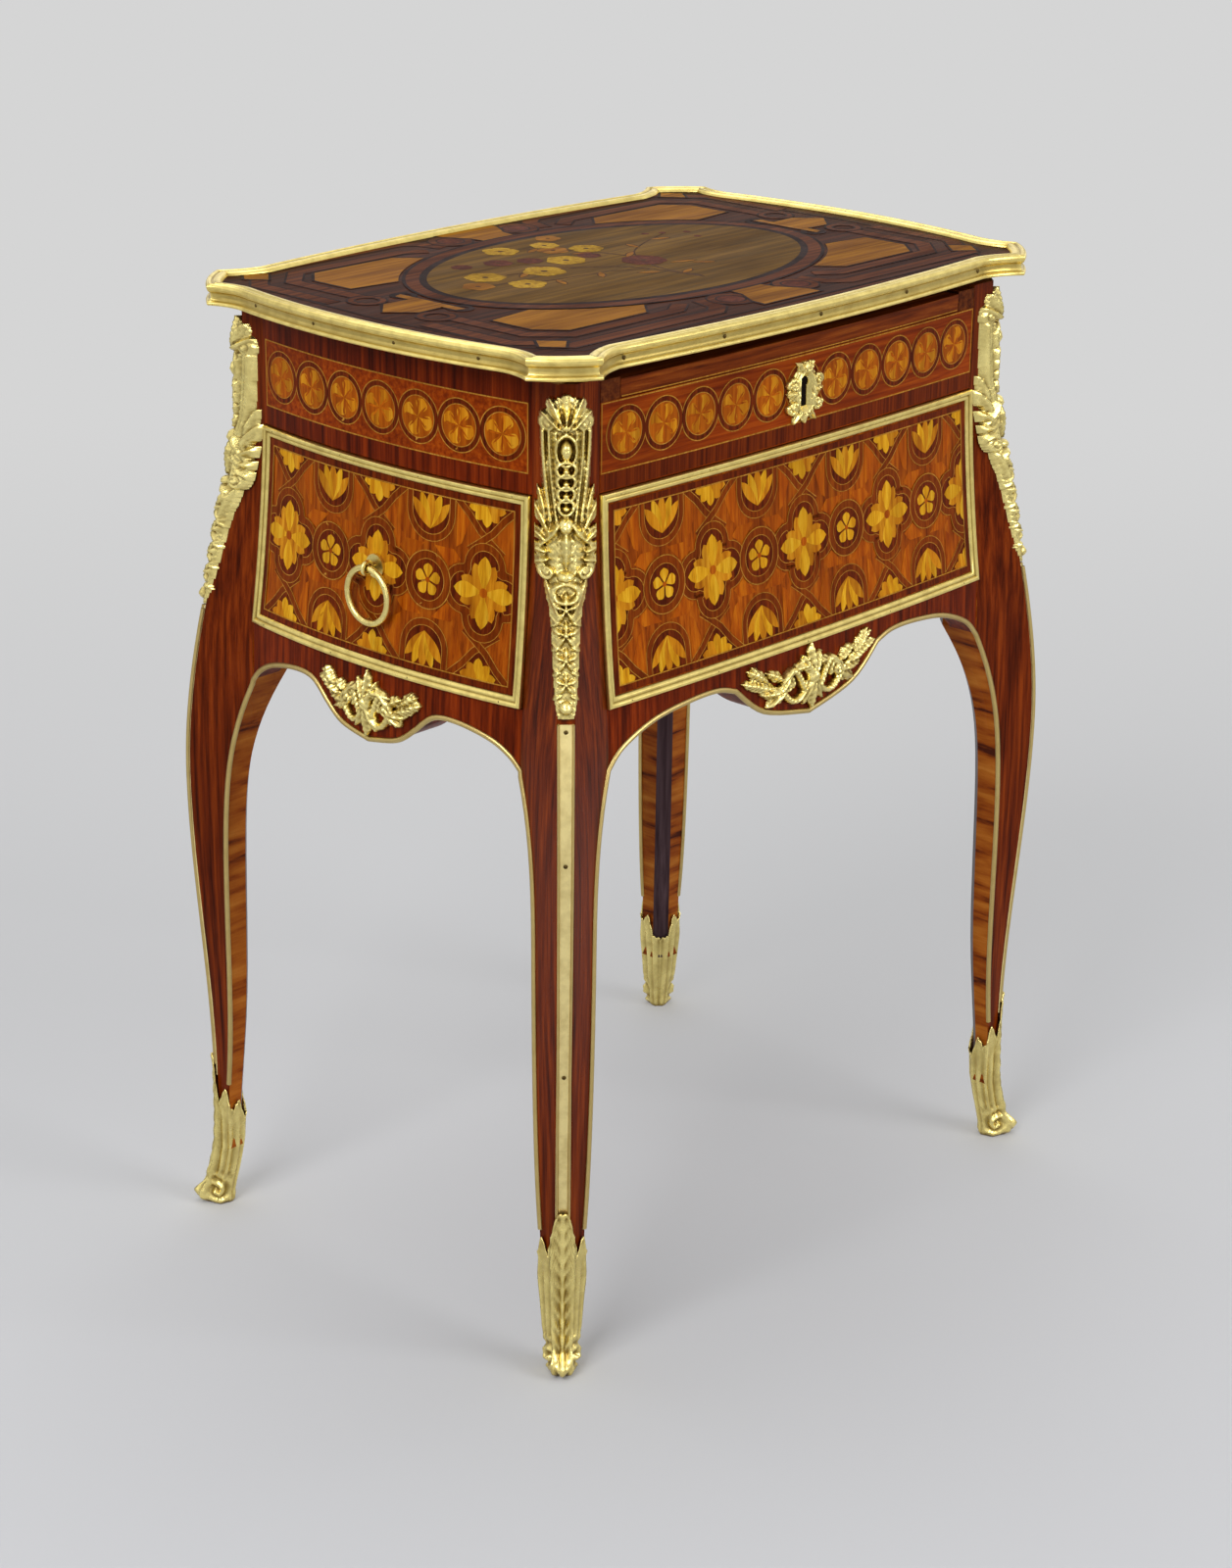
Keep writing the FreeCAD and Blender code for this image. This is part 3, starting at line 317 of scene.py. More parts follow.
NODE_MATS = {"frieze": "veneer", "panel_front": "panel_ground", "panel_back": "panel_ground",
    "panel_right": "panel_ground",
             "apron_f": "veneer_rail", "apron_b": "veneer_rail", "apron_l": "veneer_rail",
             "apron_r": "veneer_rail",
             "dust": "oak", "bottom": "oak", "drawer_guides": "oak", "side_drawer_runners": "oak",
             "top_rails": "oak",
             "pinion_brackets": "gilt", "pinion_left": "steel", "pinion_right": "steel",
             "drawer_racks": "gilt",
             "top_battens": "oak", "top_board": "top_ground", "drawer_front": "drawer_ground",
             "drawer_cheek": "cheek", "drawer_sides": "oak", "drawer_back": "oak_across",
             "drawer_bottom": "oak",
             "drawer_part": "oak", "mirror_panel": "mirror", "lock_case": "steel", "writing_slide": "slide",
             "side_drawer_front": "panel_ground", "side_drawer_sides": "oak_across",
             "side_drawer_end": "oak",
             "side_drawer_bottom": "oak", "ring": "gilt_relief", "corner_fillets": "gilt_strip",
             "sabot": "gilt_relief",
             "corner_mount": "gilt_relief", "apron_mount": "gilt_relief", "panel_frame": "gilt",
             "side_drawer_frame": "gilt",
             "top_rim": "gilt", "escutcheon": "gilt_relief"}
for name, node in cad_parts.items():
    keys = [key for key in NODE_MATS if name.startswith(key)]
    chosen = MATS[name] if name in MATS else MATS[NODE_MATS[max(keys, key=len)]]
    node.data.materials.clear()
    node.data.materials.append(chosen)


# Mesh helpers

def make_piece(name, verts, faces, mat, body):
    """A mesh piece in millimetres that rides on a CAD body."""
    mesh = bpy.data.meshes.new(name)
    mesh.from_pydata([tuple(c * MM for c in v) for v in verts], [], faces)
    mesh.validate()
    piece = bpy.data.objects.new(name, mesh)
    bpy.context.scene.collection.objects.link(piece)
    mesh.materials.append(mat)
    mesh.polygons.foreach_set("use_smooth", [True] * len(mesh.polygons))
    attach(piece, body)
    return piece


def surface_of(*names):
    """A tree of CAD meshes for dropping points on them."""
    verts, faces = [], []
    for name in names:
        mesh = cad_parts[name].data
        start = len(verts)
        verts += [v.co.copy() for v in mesh.vertices]
        faces += [[start + i for i in p.vertices] for p in mesh.polygons]
    return BVHTree.FromPolygons(verts, faces)


class Inlay:
    """Flat figures in a face's own plane, cut from many woods and laid on the CAD surface."""

    def __init__(self, name, body, nodes, side):
        self.name, self.body, self.side = name, body, side
        self.tree = surface_of(*nodes)
        self.floor = max((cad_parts[n].matrix_world @ v.co).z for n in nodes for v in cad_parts[n].data.vertices)
        self.shapes = {}

    def add(self, wood_name, level, points):
        self.shapes.setdefault((wood_name, level), []).append([tuple(p) for p in points])

    def strip(self, wood_name, level, points, width, closed=False):
        """A band of even width along a path, with mitred corners."""
        pts = [np.array(p, float) for p in points]
        n = len(pts)
        left, right = [], []
        for i in range(n):
            before = pts[i] - pts[i - 1] if (closed or i > 0) else pts[1] - pts[0]
            after = pts[(i + 1) % n] - pts[i] if (closed or i < n - 1) else before
            a = before / max(np.linalg.norm(before), 1e-9)
            b = after / max(np.linalg.norm(after), 1e-9)
            normal = np.array([-(a + b)[1], (a + b)[0]])
            normal /= max(np.linalg.norm(normal), 1e-9)
            reach = width / 2.0 / max(abs(float(normal @ np.array([-a[1], a[0]]))), 0.35)
            left.append(pts[i] + normal * reach)
            right.append(pts[i] - normal * reach)
        for i in range(n if closed else n - 1):
            j = (i + 1) % n
            self.add(wood_name, level, [right[i], right[j], left[j], left[i]])

    def place(self, u, v, level):
        lift = (0.12 + 0.05 * level) * MM
        if self.side == "top":
            hit = self.tree.ray_cast(Vector((u * MM, v * MM, 0.8)), Vector((0, 0, -1)), 1.0)[0]
            z = max(hit.z, self.floor) if hit else self.floor
            return (u * MM, v * MM, z + lift)
        angle = math.radians(SIDES[self.side])
        c, s = math.cos(angle), math.sin(angle)
        outward = Vector((s, -c, 0.0))
        base = Vector((u * c * MM, u * s * MM, v * MM))
        hit = self.tree.ray_cast(base + outward * 0.45, -outward, 0.45)[0]
        expected = base + outward * float(face_out(self.side, u, v)) * MM
        if hit is None or (hit - expected).length > 4.0 * MM:
            hit = expected
        return tuple(hit + outward * lift)

    def build(self):
        verts, faces, which = [], [], []
        names = []
        for (wood_name, level), polys in self.shapes.items():
            if wood_name not in names:
                names.append(wood_name)
            bm = bmesh.new()
            for poly in polys:
                corners = [bm.verts.new((x, y, 0.0)) for x, y in poly]
                try:
                    bm.faces.new(corners)
                except ValueError:
                    continue
            bmesh.ops.triangulate(bm, faces=bm.faces[:])
            xs = [v.co.x for v in bm.verts]
            ys = [v.co.y for v in bm.verts]
            if not xs:
                bm.free()
                continue
            if self.side != "top":
                for cut in np.arange(math.ceil(min(xs) / 8.0) * 8.0, max(xs), 8.0):
                    bmesh.ops.bisect_plane(bm, geom=bm.verts[:] + bm.edges[:] + bm.faces[:], dist=0.001,
                                           plane_co=(cut, 0, 0), plane_no=(1, 0, 0))
                for cut in np.arange(math.ceil(min(ys) / 12.0) * 12.0, max(ys), 12.0):
                    bmesh.ops.bisect_plane(bm, geom=bm.verts[:] + bm.edges[:] + bm.faces[:], dist=0.001,
                                           plane_co=(0, cut, 0), plane_no=(0, 1, 0))
            bm.verts.index_update()
            start = len(verts)
            verts += [self.place(v.co.x, v.co.y, level) for v in bm.verts]
            for f in bm.faces:
                ids = [start + v.index for v in f.verts]
                if f.normal.z < 0.0:
                    ids.reverse()
                faces.append(ids)
                which.append(names.index(wood_name))
            bm.free()
        mesh = bpy.data.meshes.new(self.name)
        mesh.from_pydata(verts, [], faces)
        mesh.polygons.foreach_set("material_index", which)
        for wood_name in names:
            mesh.materials.append(MATS[wood_name])
        piece = bpy.data.objects.new(self.name, mesh)
        bpy.context.scene.collection.objects.link(piece)
        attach(piece, self.body)
        return piece


# Figures of the marquetry

def circle(cx, cy, r, n=40):
    turns = [math.radians(360.0 * i / n) for i in range(n)]
    return [(cx + r * math.cos(a), cy + r * math.sin(a)) for a in turns]


def oval(cx, cy, a, b, n=96):
    return [(cx + a * math.cos(2 * math.pi * i / n),
        cy + b * math.sin(2 * math.pi * i / n)) for i in range(n)]


def leaf(cx, cy, angle, length, width, blunt=0.75, n=9):
    """A petal that starts at a point and swells towards its tip."""
    c, s = math.cos(math.radians(angle)), math.sin(math.radians(angle))
    up, down = [], []
    for i in range(n + 1):
        t = i / n
        w = width / 2.0 * math.sin(math.pi * t ** blunt) ** 0.8 if 0 < t < 1 else 0.0
        d = length * t
        up.append((cx + d * c - w * s, cy + d * s + w * c))
        if 0 < i < n:
            down.append((cx + d * c + w * s, cy + d * s - w * c))
    return up + down[::-1]


def flower(inlay, wood_name, level, cx, cy, r, petals, turn=90.0):
    for k in range(petals):
        inlay.add(wood_name, level + 0.1 * (k % 2),
            leaf(cx, cy, turn + 360.0 * k / petals, r, r * 2.3 / petals ** 0.72, 1.9))


def quatrefoil_path(cx, cy, r, reach, n=14):
    """Outline of four joined lobes."""
    pts = []
    half = math.degrees(math.acos(max(min((reach * math.sqrt(0.5)) / r, 1.0), 0.0)))
    for k in range(4):
        mx, my = cx + reach * math.cos(math.radians(90.0 * k)), cy + reach * math.sin(math.radians(90.0 * k))
        span = 270.0 - 2 * half
        start = 90.0 * k - span / 2.0
        pts += [(mx + r * math.cos(math.radians(start + span * i / n)),
            my + r * math.sin(math.radians(start + span * i / n)))
                for i in range(n + 1)]
    return pts


def clip_shape(points, lo, hi, axis=0):
    """A polygon cut to a range of one coordinate."""
    for limit, sign in ((lo, 1.0), (hi, -1.0)):
        out = []
        for a, b in zip(points, points[1:] + points[:1]):
            da, db = (a[axis] - limit) * sign, (b[axis] - limit) * sign
            if da >= 0:
                out.append(a)
            if (da >= 0) != (db >= 0):
                t = da / (da - db)
                out.append((a[0] + (b[0] - a[0]) * t, a[1] + (b[1] - a[1]) * t))
        points = out
        if not points:
            return []
    return points


def lined_strip(inlay, level, points, width, closed=False, wood_name="band"):
    inlay.strip("line", level, points, width, closed)
    inlay.strip(wood_name, level + 0.5, points, width - 1.0, closed)


def niche(inlay, cx, edge, sign):
    """Round-ended strapwork arch with striped leaves, standing on the panel's edge."""
    def at(x, y):
        return (cx + x, edge - sign * y)
    turn = [(18.5 * math.cos(math.radians(a)),
        13.0 + 18.0 * math.sin(math.radians(a))) for a in range(0, 181, 12)]
    inlay.add("dark_band", 2,
        [at(17.0, 0)] + [at(x * 0.92, 13.0 + (y - 13.0) * 0.92) for x, y in turn] + [at(-17.0, 0)])
    lined_strip(inlay, 3, [at(18.5, -1)] + [at(x, y) for x, y in turn] + [at(-18.5, -1)], 5.2)
    facing = 90.0 if sign < 0 else -90.0
    root = at(0, 25.0)
    for k, (angle, length, width) in enumerate(((-40, 25, 7.5), (-20, 26, 7.5), (0, 26, 8),
            (20, 26, 7.5), (40, 25, 7.5))):
        shape = leaf(root[0], root[1], -facing + angle, length, width, 1.2)
        low, high = (edge, edge + 60) if sign < 0 else (edge - 60, edge)
        shape = clip_shape(shape, low, high, 1)
        if len(shape) > 2:
            inlay.add("yellow" if k % 2 else "amber", 5 + 0.2 * k, shape)


def fleur(inlay, cx, edge, sign):
    """Three petals in a triangle that points away from the panel's edge."""
    def at(x, y):
        return (cx + x, edge - sign * y)
    inlay.add("dark_band", 2, [at(-22, 0), at(0, 22), at(22, 0)])
    lined_strip(inlay, 3, [at(-26.5, -1), at(-14, 9.5), at(-5, 19.5), at(6, 27.5), at(14, 33)], 5.2)
    lined_strip(inlay, 4, [at(26.5, -1), at(14, 9.5), at(5, 19.5), at(-6, 27.5), at(-14, 33)], 5.2)
    for k, (angle, length) in enumerate(((-78, 15), (78, 15), (-40, 14), (40, 14), (0, 15))):
        facing = 90.0 if sign < 0 else -90.0
        inlay.add("amber" if k % 2 else "yellow", 6 + 0.2 * k,
            leaf(cx, edge - sign * 1.0, facing + angle, length, 7.5, 1.6))


PANEL_MIDDLE, PANEL_BOTTOM, PANEL_TOP = 541.0, 481.5, 600.5


def strapwork(inlay, centres, circles):
    """The panel's repeat of quatrefoils, circles, brackets and leaf triangles."""
    for cx in circles:
        for angle in (-1, 1):
            for sign, edge in ((1, PANEL_TOP), (-1, PANEL_BOTTOM)):
                tip = [(cx + angle * 22.5, edge - sign * 3), (cx + angle * 33, edge - sign * 14),
                    (cx + angle * 27, edge - sign * 30),
                       (cx + angle * 22.5, edge - sign * 33)]
                inlay.add("orange", 1, tip)
                inlay.add("orange", 1.3, [(cx + angle * 4, edge - sign * 35),
                    (cx + angle * 21, edge - sign * 35),
                                          (cx + angle * 27, edge - sign * 41),
                                          (cx + angle * 17, edge - sign * 47)])
    for cx in centres:
        fleur(inlay, cx, PANEL_TOP, 1)
        fleur(inlay, cx, PANEL_BOTTOM, -1)
    for cx in circles:
        niche(inlay, cx, PANEL_TOP, 1)
        niche(inlay, cx, PANEL_BOTTOM, -1)
    for cx in centres:
        path = quatrefoil_path(cx, PANEL_MIDDLE, 14.0, 16.5)
        inlay.add("dark_band", 7, path)
        lined_strip(inlay, 7.6, path, 5.6, True)
        for k in range(4):
            for spread_angle, length, width in ((-24, 20.5, 9.5), (24, 20.5, 9.5), (0, 24.5, 11.0)):
                inlay.add("amber" if spread_angle else "yellow",
                    9 + 0.15 * k + (0.08 if spread_angle else 0.3),
                          leaf(cx, PANEL_MIDDLE, 90.0 * k + spread_angle, length, width, 1.5))
        inlay.add("orange", 10.2, circle(cx, PANEL_MIDDLE, 3.2, 16))
    for cx in circles:
        inlay.add("line", 8.6, circle(cx, PANEL_MIDDLE, 20.0))
        inlay.add("band", 8.9, circle(cx, PANEL_MIDDLE, 19.3))
        inlay.add("line", 9.1, circle(cx, PANEL_MIDDLE, 14.4))
        inlay.add("dark_band", 9.3, circle(cx, PANEL_MIDDLE, 13.9))
        flower(inlay, "yellow", 9.6, cx, PANEL_MIDDLE, 11.2, 5 if int(cx) % 2 else 6)
        inlay.add("orange", 10.2, circle(cx, PANEL_MIDDLE, 1.9, 12))


def panel_border(inlay, inner, low=478.2, high=603.8):
    """Dark strip and light line round the panel, inside its gilt frame."""
    def corner(z):
        return inner + float(spread(z)) - 7.8
    for inset, width, name, level in ((2.1, 4.4, "dark_band", 11.0), (4.8, 0.8, "line", 11.3)):
        path = [(-corner(low) + inset, low + inset), (corner(low) - inset, low + inset),
                (corner(high) - inset, high - inset), (-corner(high) + inset, high - inset)]
        inlay.strip(name, level, path, width, True)


def trim(inlay, inner):
    """Cuts every figure to the inside of the border."""
    for key, polys in inlay.shapes.items():
        kept = []
        for poly in polys:
            poly = clip_shape(poly, 479.0, 603.0, 1)
            if len(poly) > 2:
                poly = clip_shape(poly, -(inner - 6.5), inner - 6.5, 0)
            if len(poly) > 2:
                kept.append(poly)
        inlay.shapes[key] = kept


def dress_panel(side, node, body, long_side):
    inner = LONG_HALF if long_side else SHORT_HALF
    inlay = Inlay("marquetry_" + node, body, [node], side)
    if long_side:
        strapwork(inlay, [-188, -94, 0, 94, 188], [-141, -47, 47, 141])
    else:
        strapwork(inlay, [-94, 0, 94], [-47, 47])
    trim(inlay, inner)
    panel_border(inlay, inner)
    return inlay.build()


dress_panel("front", "panel_front", "carcass", True)
dress_panel("back", "panel_back", "carcass", True)
dress_panel("right", "panel_right", "carcass", False)
dress_panel("left", "side_drawer_front", "side_drawer", False)


# Rows of roundels on the friezes and the upper drawer

def roundel(inlay, cx, cy, r):
    inlay.add("line", 2.0, circle(cx, cy, r))
    inlay.add("dark_band", 2.2, circle(cx, cy, r - 0.7))
    inlay.add("line", 2.5, circle(cx, cy, r - 3.9))
    inlay.add("disc", 2.7, circle(cx, cy, r - 4.5))
    for k in range(8):
        inlay.add("amber" if k % 2 else "disc", 3.0 + 0.05 * k,
            leaf(cx, cy, 22.5 + 45.0 * k, r - 4.9, 10.4, 1.9))
    for k in range(8):
        inlay.add("orange", 3.6, leaf(cx, cy, 45.0 * k, r - 7.5, 1.4, 1.0))


def roundel_row(name, body, nodes, side, centres, z, r, box, ground=None):
    inlay = Inlay(name, body, nodes, side)
    x0, z0, x1, z1 = box
    if ground:
        inlay.add(ground, 0, [(x0, z0), (x1, z0), (x1, z1), (x0, z1)])
    inlay.strip("line", 1.0, [(x0, z0), (x1, z0), (x1, z1), (x0, z1)], 0.9, True)
    for cx in centres:
        roundel(inlay, cx, z, r)
    return inlay


row = roundel_row("roundels_drawer", "upper_drawer", ["drawer_front"], "front",
    [34.7 * k for k in range(-5, 6)], 649.0, 18.3,
                  (-195.6, 625.2, 195.6, 671.0))
# Painted shade: a near-black disc and slot on the drawer face stand for the shadow inside the keyhole.
row.add("keyhole_shade", 6.0, circle(0, 652.5, 4.4, 20))
row.add("keyhole_shade", 6.2, [(-3.4, 652), (-3.4, 635.0), (3.4, 635.0), (3.4, 652)])
row.add("dark_band", 0.5, [(-196.2, 613.4), (196.2, 613.4), (196.2, 624.6), (-196.2, 624.6)])
row.build()
for side in ("left", "right"):
    row = roundel_row("roundels_" + side, "carcass", ["frieze_" + side], side,
        [35.0 * k for k in range(-3, 4)], 648.6, 18.3,
                      (-124.3, 625.6, 124.3, 671.4), "drawer_ground")
    row.build()
row = roundel_row("roundels_back", "carcass", ["frieze_back"], "back", [34.7 * k for k in range(-5, 6)],
    648.6, 18.3,
                  (-194.0, 625.6, 194.0, 671.4), "drawer_ground")
row.build()
slide_line = Inlay("slide_line", "writing_slide", ["writing_slide"], "front")
slide_line.strip("line", 1.0, [(-177.0, 673.0), (177.0, 673.0)], 0.8)
slide_line.build()


# Top: reserves and strapwork round an oval with a spray of flowers

top = Inlay("marquetry_top", "top", ["top_board"], "top")
CX, CY = 5.0, 13.0


def both_ways(points):
    """The figure and its mirror images about the oval's centre."""
    for fx in (1, -1):
        for fy in (1, -1):
            yield [(CX + x * fx, CY + y * fy) for x, y in points]


def arc_of_oval(a, b, t0, t1, n=14):
    return [(a * math.cos(math.radians(t0 + (t1 - t0) * i / n)),
        b * math.sin(math.radians(t0 + (t1 - t0) * i / n)))
            for i in range(n + 1)]


reserve = [(197, 66), (197, 104), (180, 123), (104, 123), (88, 106)] + arc_of_oval(180, 121, 62, 30)
outer_frame = [(232, 44), (232, 118), (214, 138), (208, 152), (70, 152), (58, 143), (52, 122)]
inner_frame = [(208, 40), (208, 110), (187, 131), (86, 131), (70, 120)]
for shape in both_ways(outer_frame):
    top.strip("top_line", 1.0, shape, 14.5)
    top.strip("top_band", 1.4, shape, 11.0)
for shape in both_ways(inner_frame):
    top.strip("top_line", 1.8, shape, 13.5)
    top.strip("top_band", 2.2, shape, 10.5)
for shape in both_ways(reserve):
    top.add("top_line", 2.6, shape)
    centre = (sum(p[0] for p in shape) / len(shape), sum(p[1] for p in shape) / len(shape))
    top.add("ochre", 3.0, [(centre[0] + (x - centre[0]) * 0.965,
        centre[1] + (y - centre[1]) * 0.95) for x, y in shape])
for fx in (1, -1):
    for fy in (1, -1):
        top.strip("top_line", 3.1, circle(CX + 34 * fx, CY + 134 * fy, 13.5, 28), 8.0, True)
        top.strip("top_band", 3.3, circle(CX + 34 * fx, CY + 134 * fy, 13.5, 28), 5.0, True)
        top.add("rosewood", 3.0, circle(CX + 34 * fx, CY + 134 * fy, 11.0, 24))
        diamond = [(216, 124), (229, 140), (216, 156), (200, 142)]
        top.add("top_line", 3.6, [(CX + x * fx, CY + y * fy) for x, y in diamond])
        top.add("ochre", 3.9, [(CX + (214.5 + (x - 214.5) * 0.8) * fx,
            CY + (140 + (y - 140) * 0.8) * fy) for x, y in diamond])
        top.strip("top_line", 3.1, circle(CX + 184 * fx, CY + 27 * fy, 7.5, 20), 4.5, True)
        top.strip("top_line", 3.1, circle(CX + 212 * fx, CY + 33 * fy, 11.0, 20), 7.0, True)
        top.strip("top_band", 3.4, circle(CX + 212 * fx, CY + 33 * fy, 11.0, 20), 3.8, True)
for fy in (1, -1):
    pts = [(-15, 117), (15, 117), (17, 130), (28, 148), (29, 160), (-29, 160), (-28, 148), (-17, 130)]
    top.add("top_line", 4.2, [(CX + x * 1.1, CY + (138 + (y - 138) * 1.08) * fy) for x, y in pts])
    top.add("ochre", 4.5, [(CX + x, CY + y * fy) for x, y in pts])
for fx in (1, -1):
    for pts in ([(183, -31), (190, -29), (190, 29), (183, 31)],
            [(189.8, -16), (212, -17), (229, 0), (212, 17), (189.8, 16)]):
        middle = sum(x for x, y in pts) / len(pts)
        rim = [(x + 1.8 * (1 if x > middle else -1), y + 1.8 * (y > 1) - 1.8 * (y < -1)) for x, y in pts]
        top.add("top_line", 4.2, [(CX + x * fx, CY + y) for x, y in rim])
        top.add("ochre", 4.5, [(CX + x * fx, CY + y) for x, y in pts])
top.add("top_line", 5.0, oval(CX, CY, 178, 119))
top.add("top_band", 5.3, oval(CX, CY, 175.5, 116.5))
top.add("top_line", 5.6, oval(CX, CY, 166, 107))
top.add("olive", 6.0, oval(CX, CY, 160.5, 101.5))


def smooth_path(points):
    """A smooth line through points."""
    pts = [np.array(p, float) for p in points]
    line = []
    for i in range(len(pts) - 1):
        p0, p1, p2, p3 = pts[max(i - 1, 0)], pts[i], pts[i + 1], pts[min(i + 2, len(pts) - 1)]
        for t in np.linspace(0, 1, 7)[:-1]:
            line.append(0.5 * (2 * p1 + (p2 - p0) * t + (2 * p0 - 5 * p1 + 4 * p2 - p3) * t * t
                               + (3 * p1 - p0 - 3 * p2 + p3) * t ** 3))
    return line + [pts[-1]]


def stem(points, width, level):
    """A stem drawn as a smooth line through points."""
    top.strip("stem", level, smooth_path(points), width)


def bloom(cx, cy, r, name, petals=6, turn=0.0, level=7.5):
    top.add("stem", level - 0.2, circle(cx, cy, r * 0.72, 20))
    for k in range(petals):
        top.add(name, level + 0.06 * k, leaf(cx, cy, turn + 360.0 * k / petals, r, r * 0.95, 1.6))
    top.add("stem", level + 0.6, circle(cx, cy, r * 0.16, 10))


stem([(12, -62), (8, -42), (4, -22), (-6, 0), (-26, 16), (-52, 28), (-84, 36)], 2.2, 6.6)
stem([(14, -58), (10, -34), (14, -12), (26, 8), (20, 40), (8, 66), (-12, 90)], 2.0, 6.7)
stem([(5, -22), (-20, -6), (-52, 0), (-84, 6), (-112, 22)], 1.7, 6.8)
stem([(14, -12), (34, 24), (66, 44), (104, 58)], 1.4, 6.9)
stem([(-26, 16), (-44, 40), (-58, 66)], 1.3, 6.9)
for x, y, angle, length in ((-40, 24, 120, 20), (-66, 32, 205, 19), (2, -30, 150, 18),
        (10, -44, 20, 17), (22, 20, 30, 20),
                            (16, 48, 160, 18), (52, 36, 80, 16), (80, 50, -20, 17), (-70, 2, 250, 17),
                            (-30, -2, 230, 18),
                            (30, -14, -20, 22), (42, -24, -40, 18), (-4, 84, 200, 16)):
    top.add("stem", 7.0, leaf(x, y, angle, length, 6.8, 1.0))
    top.add("ochre", 7.2, leaf(x, y, angle, length * 0.94, 4.6, 1.0))
for args in ((-100, 41, 15, "petal"), (-124, 24, 12, "ochre"), (-94, 6, 14, "petal"),
        (-56, 27, 16, "petal"), (-18, 42, 15, "petal"),
             (-30, 95, 14, "petal"), (22, 60, 13, "petal"), (0, 72, 12, "ochre"), (8, 88, 11, "petal"),
             (28, 104, 10, "ochre")):
    bloom(*args, petals=5 + int(args[2]) % 2, turn=args[0])
for args in ((-60, 68, 11, "rosewood"), (-38, 58, 10, "rosewood"), (22, 4, 17, "rosewood"),
        (-88, 76, 8, "rosewood"), (6, 42, 9, "rosewood")):
    bloom(*args, petals=7, turn=args[1])
for x, y in ((104, 60), (114, 34), (92, 66), (120, 50)):
    top.add("rosewood", 7.3, circle(x, y, 3.0, 10))
top.strip("top_line", 0.6,
    [(-232, -118), (-208, -154), (208, -154), (232, -118), (240, 0), (232, 118), (208, 160), (-208, 160),
                            (-232, 118), (-240, 0)], 2.4, True)
top.build()


# Gilt rim of the top: a moulded profile swept round the outline

def arc3(a, m, b, n):
    """Points on the circle through three points, without the last."""
    ax, ay, bx, by, cx, cy = *a, *m, *b
    d = 2 * (ax * (by - cy) + bx * (cy - ay) + cx * (ay - by))
    ux = ((ax * ax + ay * ay) * (by - cy) + (bx * bx + by * by) * (cy - ay) + (cx * cx + cy * cy) * (ay - by)) / d
    uy = ((ax * ax + ay * ay) * (cx - bx) + (bx * bx + by * by) * (ax - cx) + (cx * cx + cy * cy) * (bx - ax)) / d
    r = math.hypot(ax - ux, ay - uy)
    t0 = math.atan2(ay - uy, ax - ux)
    tm = (math.atan2(by - uy, bx - ux) - t0) % (2 * math.pi)
    t1 = (math.atan2(cy - uy, cx - ux) - t0) % (2 * math.pi)
    if tm > t1:
        t1 -= 2 * math.pi
    return [(ux + r * math.cos(t0 + t1 * i / n), uy + r * math.sin(t0 + t1 * i / n)) for i in range(n)]


def chord_point(a, b, bulge):
    dx, dy = b[0] - a[0], b[1] - a[1]
    length = math.hypot(dx, dy)
    return (a[0] + dx / 2 + dy / length * bulge, a[1] + dy / 2 - dx / length * bulge)


def rim_outline():
    """The outline, counter-clockwise, and which points are sharp corners."""
    side_end, ear_side, ear_front, front_end = (252.5, 122.0), (258.0, 150.0), (221.5, 183.0), (192.0,
        169.8)
    quarter = [(side_end, chord_point(side_end, ear_side, -2.4), ear_side),
        (ear_side, chord_point(ear_side, ear_front, 3.0), ear_front),
               (ear_front, chord_point(ear_front, front_end, -2.4), front_end)]
    pts, sharp = [], set()

    def run(a, m, b, n):
        sharp.add(len(pts))
        pts.extend(arc3(a, m, b, n))
    run((252.5, -122.0), (265.5, 0.0), (252.5, 122.0), 40)
    for a, m, b in quarter:
        run(a, m, b, 8)
    run((192.0, 169.8), (0.0, 179.0), (-192.0, 169.8), 48)
    for a, m, b in reversed(quarter):
        run((-b[0], b[1]), (-m[0], m[1]), (-a[0], a[1]), 8)
    run((-252.5, 122.0), (-265.5, 0.0), (-252.5, -122.0), 40)
    for a, m, b in quarter:
        run((-a[0], -a[1]), (-m[0], -m[1]), (-b[0], -b[1]), 8)
    run((-192.0, -169.8), (0.0, -179.0), (192.0, -169.8), 48)
    for a, m, b in reversed(quarter):
        run((b[0], -b[1]), (m[0], -m[1]), (a[0], -a[1]), 8)
    return pts, sharp


RIM_PROFILE = [(4.6, 695.1), (0.9, 695.1), (0.2, 695.6), (0.1, 696.6), (0.6, 697.5), (1.5, 697.9),
    (2.4, 698.4), (2.9, 699.4),
               (3.1, 701.0), (2.9, 702.8), (2.3, 703.9), (1.5, 704.4), (0.9, 704.9), (0.9, 705.5),
               (0.4, 706.0), (0.15, 707.0),
               (0.3, 708.2), (0.9, 709.2), (1.9, 709.8), (3.0, 709.9), (3.9, 709.5), (4.4, 708.8),
               (4.9, 708.7), (5.5, 709.2),
               (6.8, 709.7), (8.4, 709.8), (9.8, 709.5), (10.6, 708.9), (11.2, 708.0), (11.6, 707.1)]


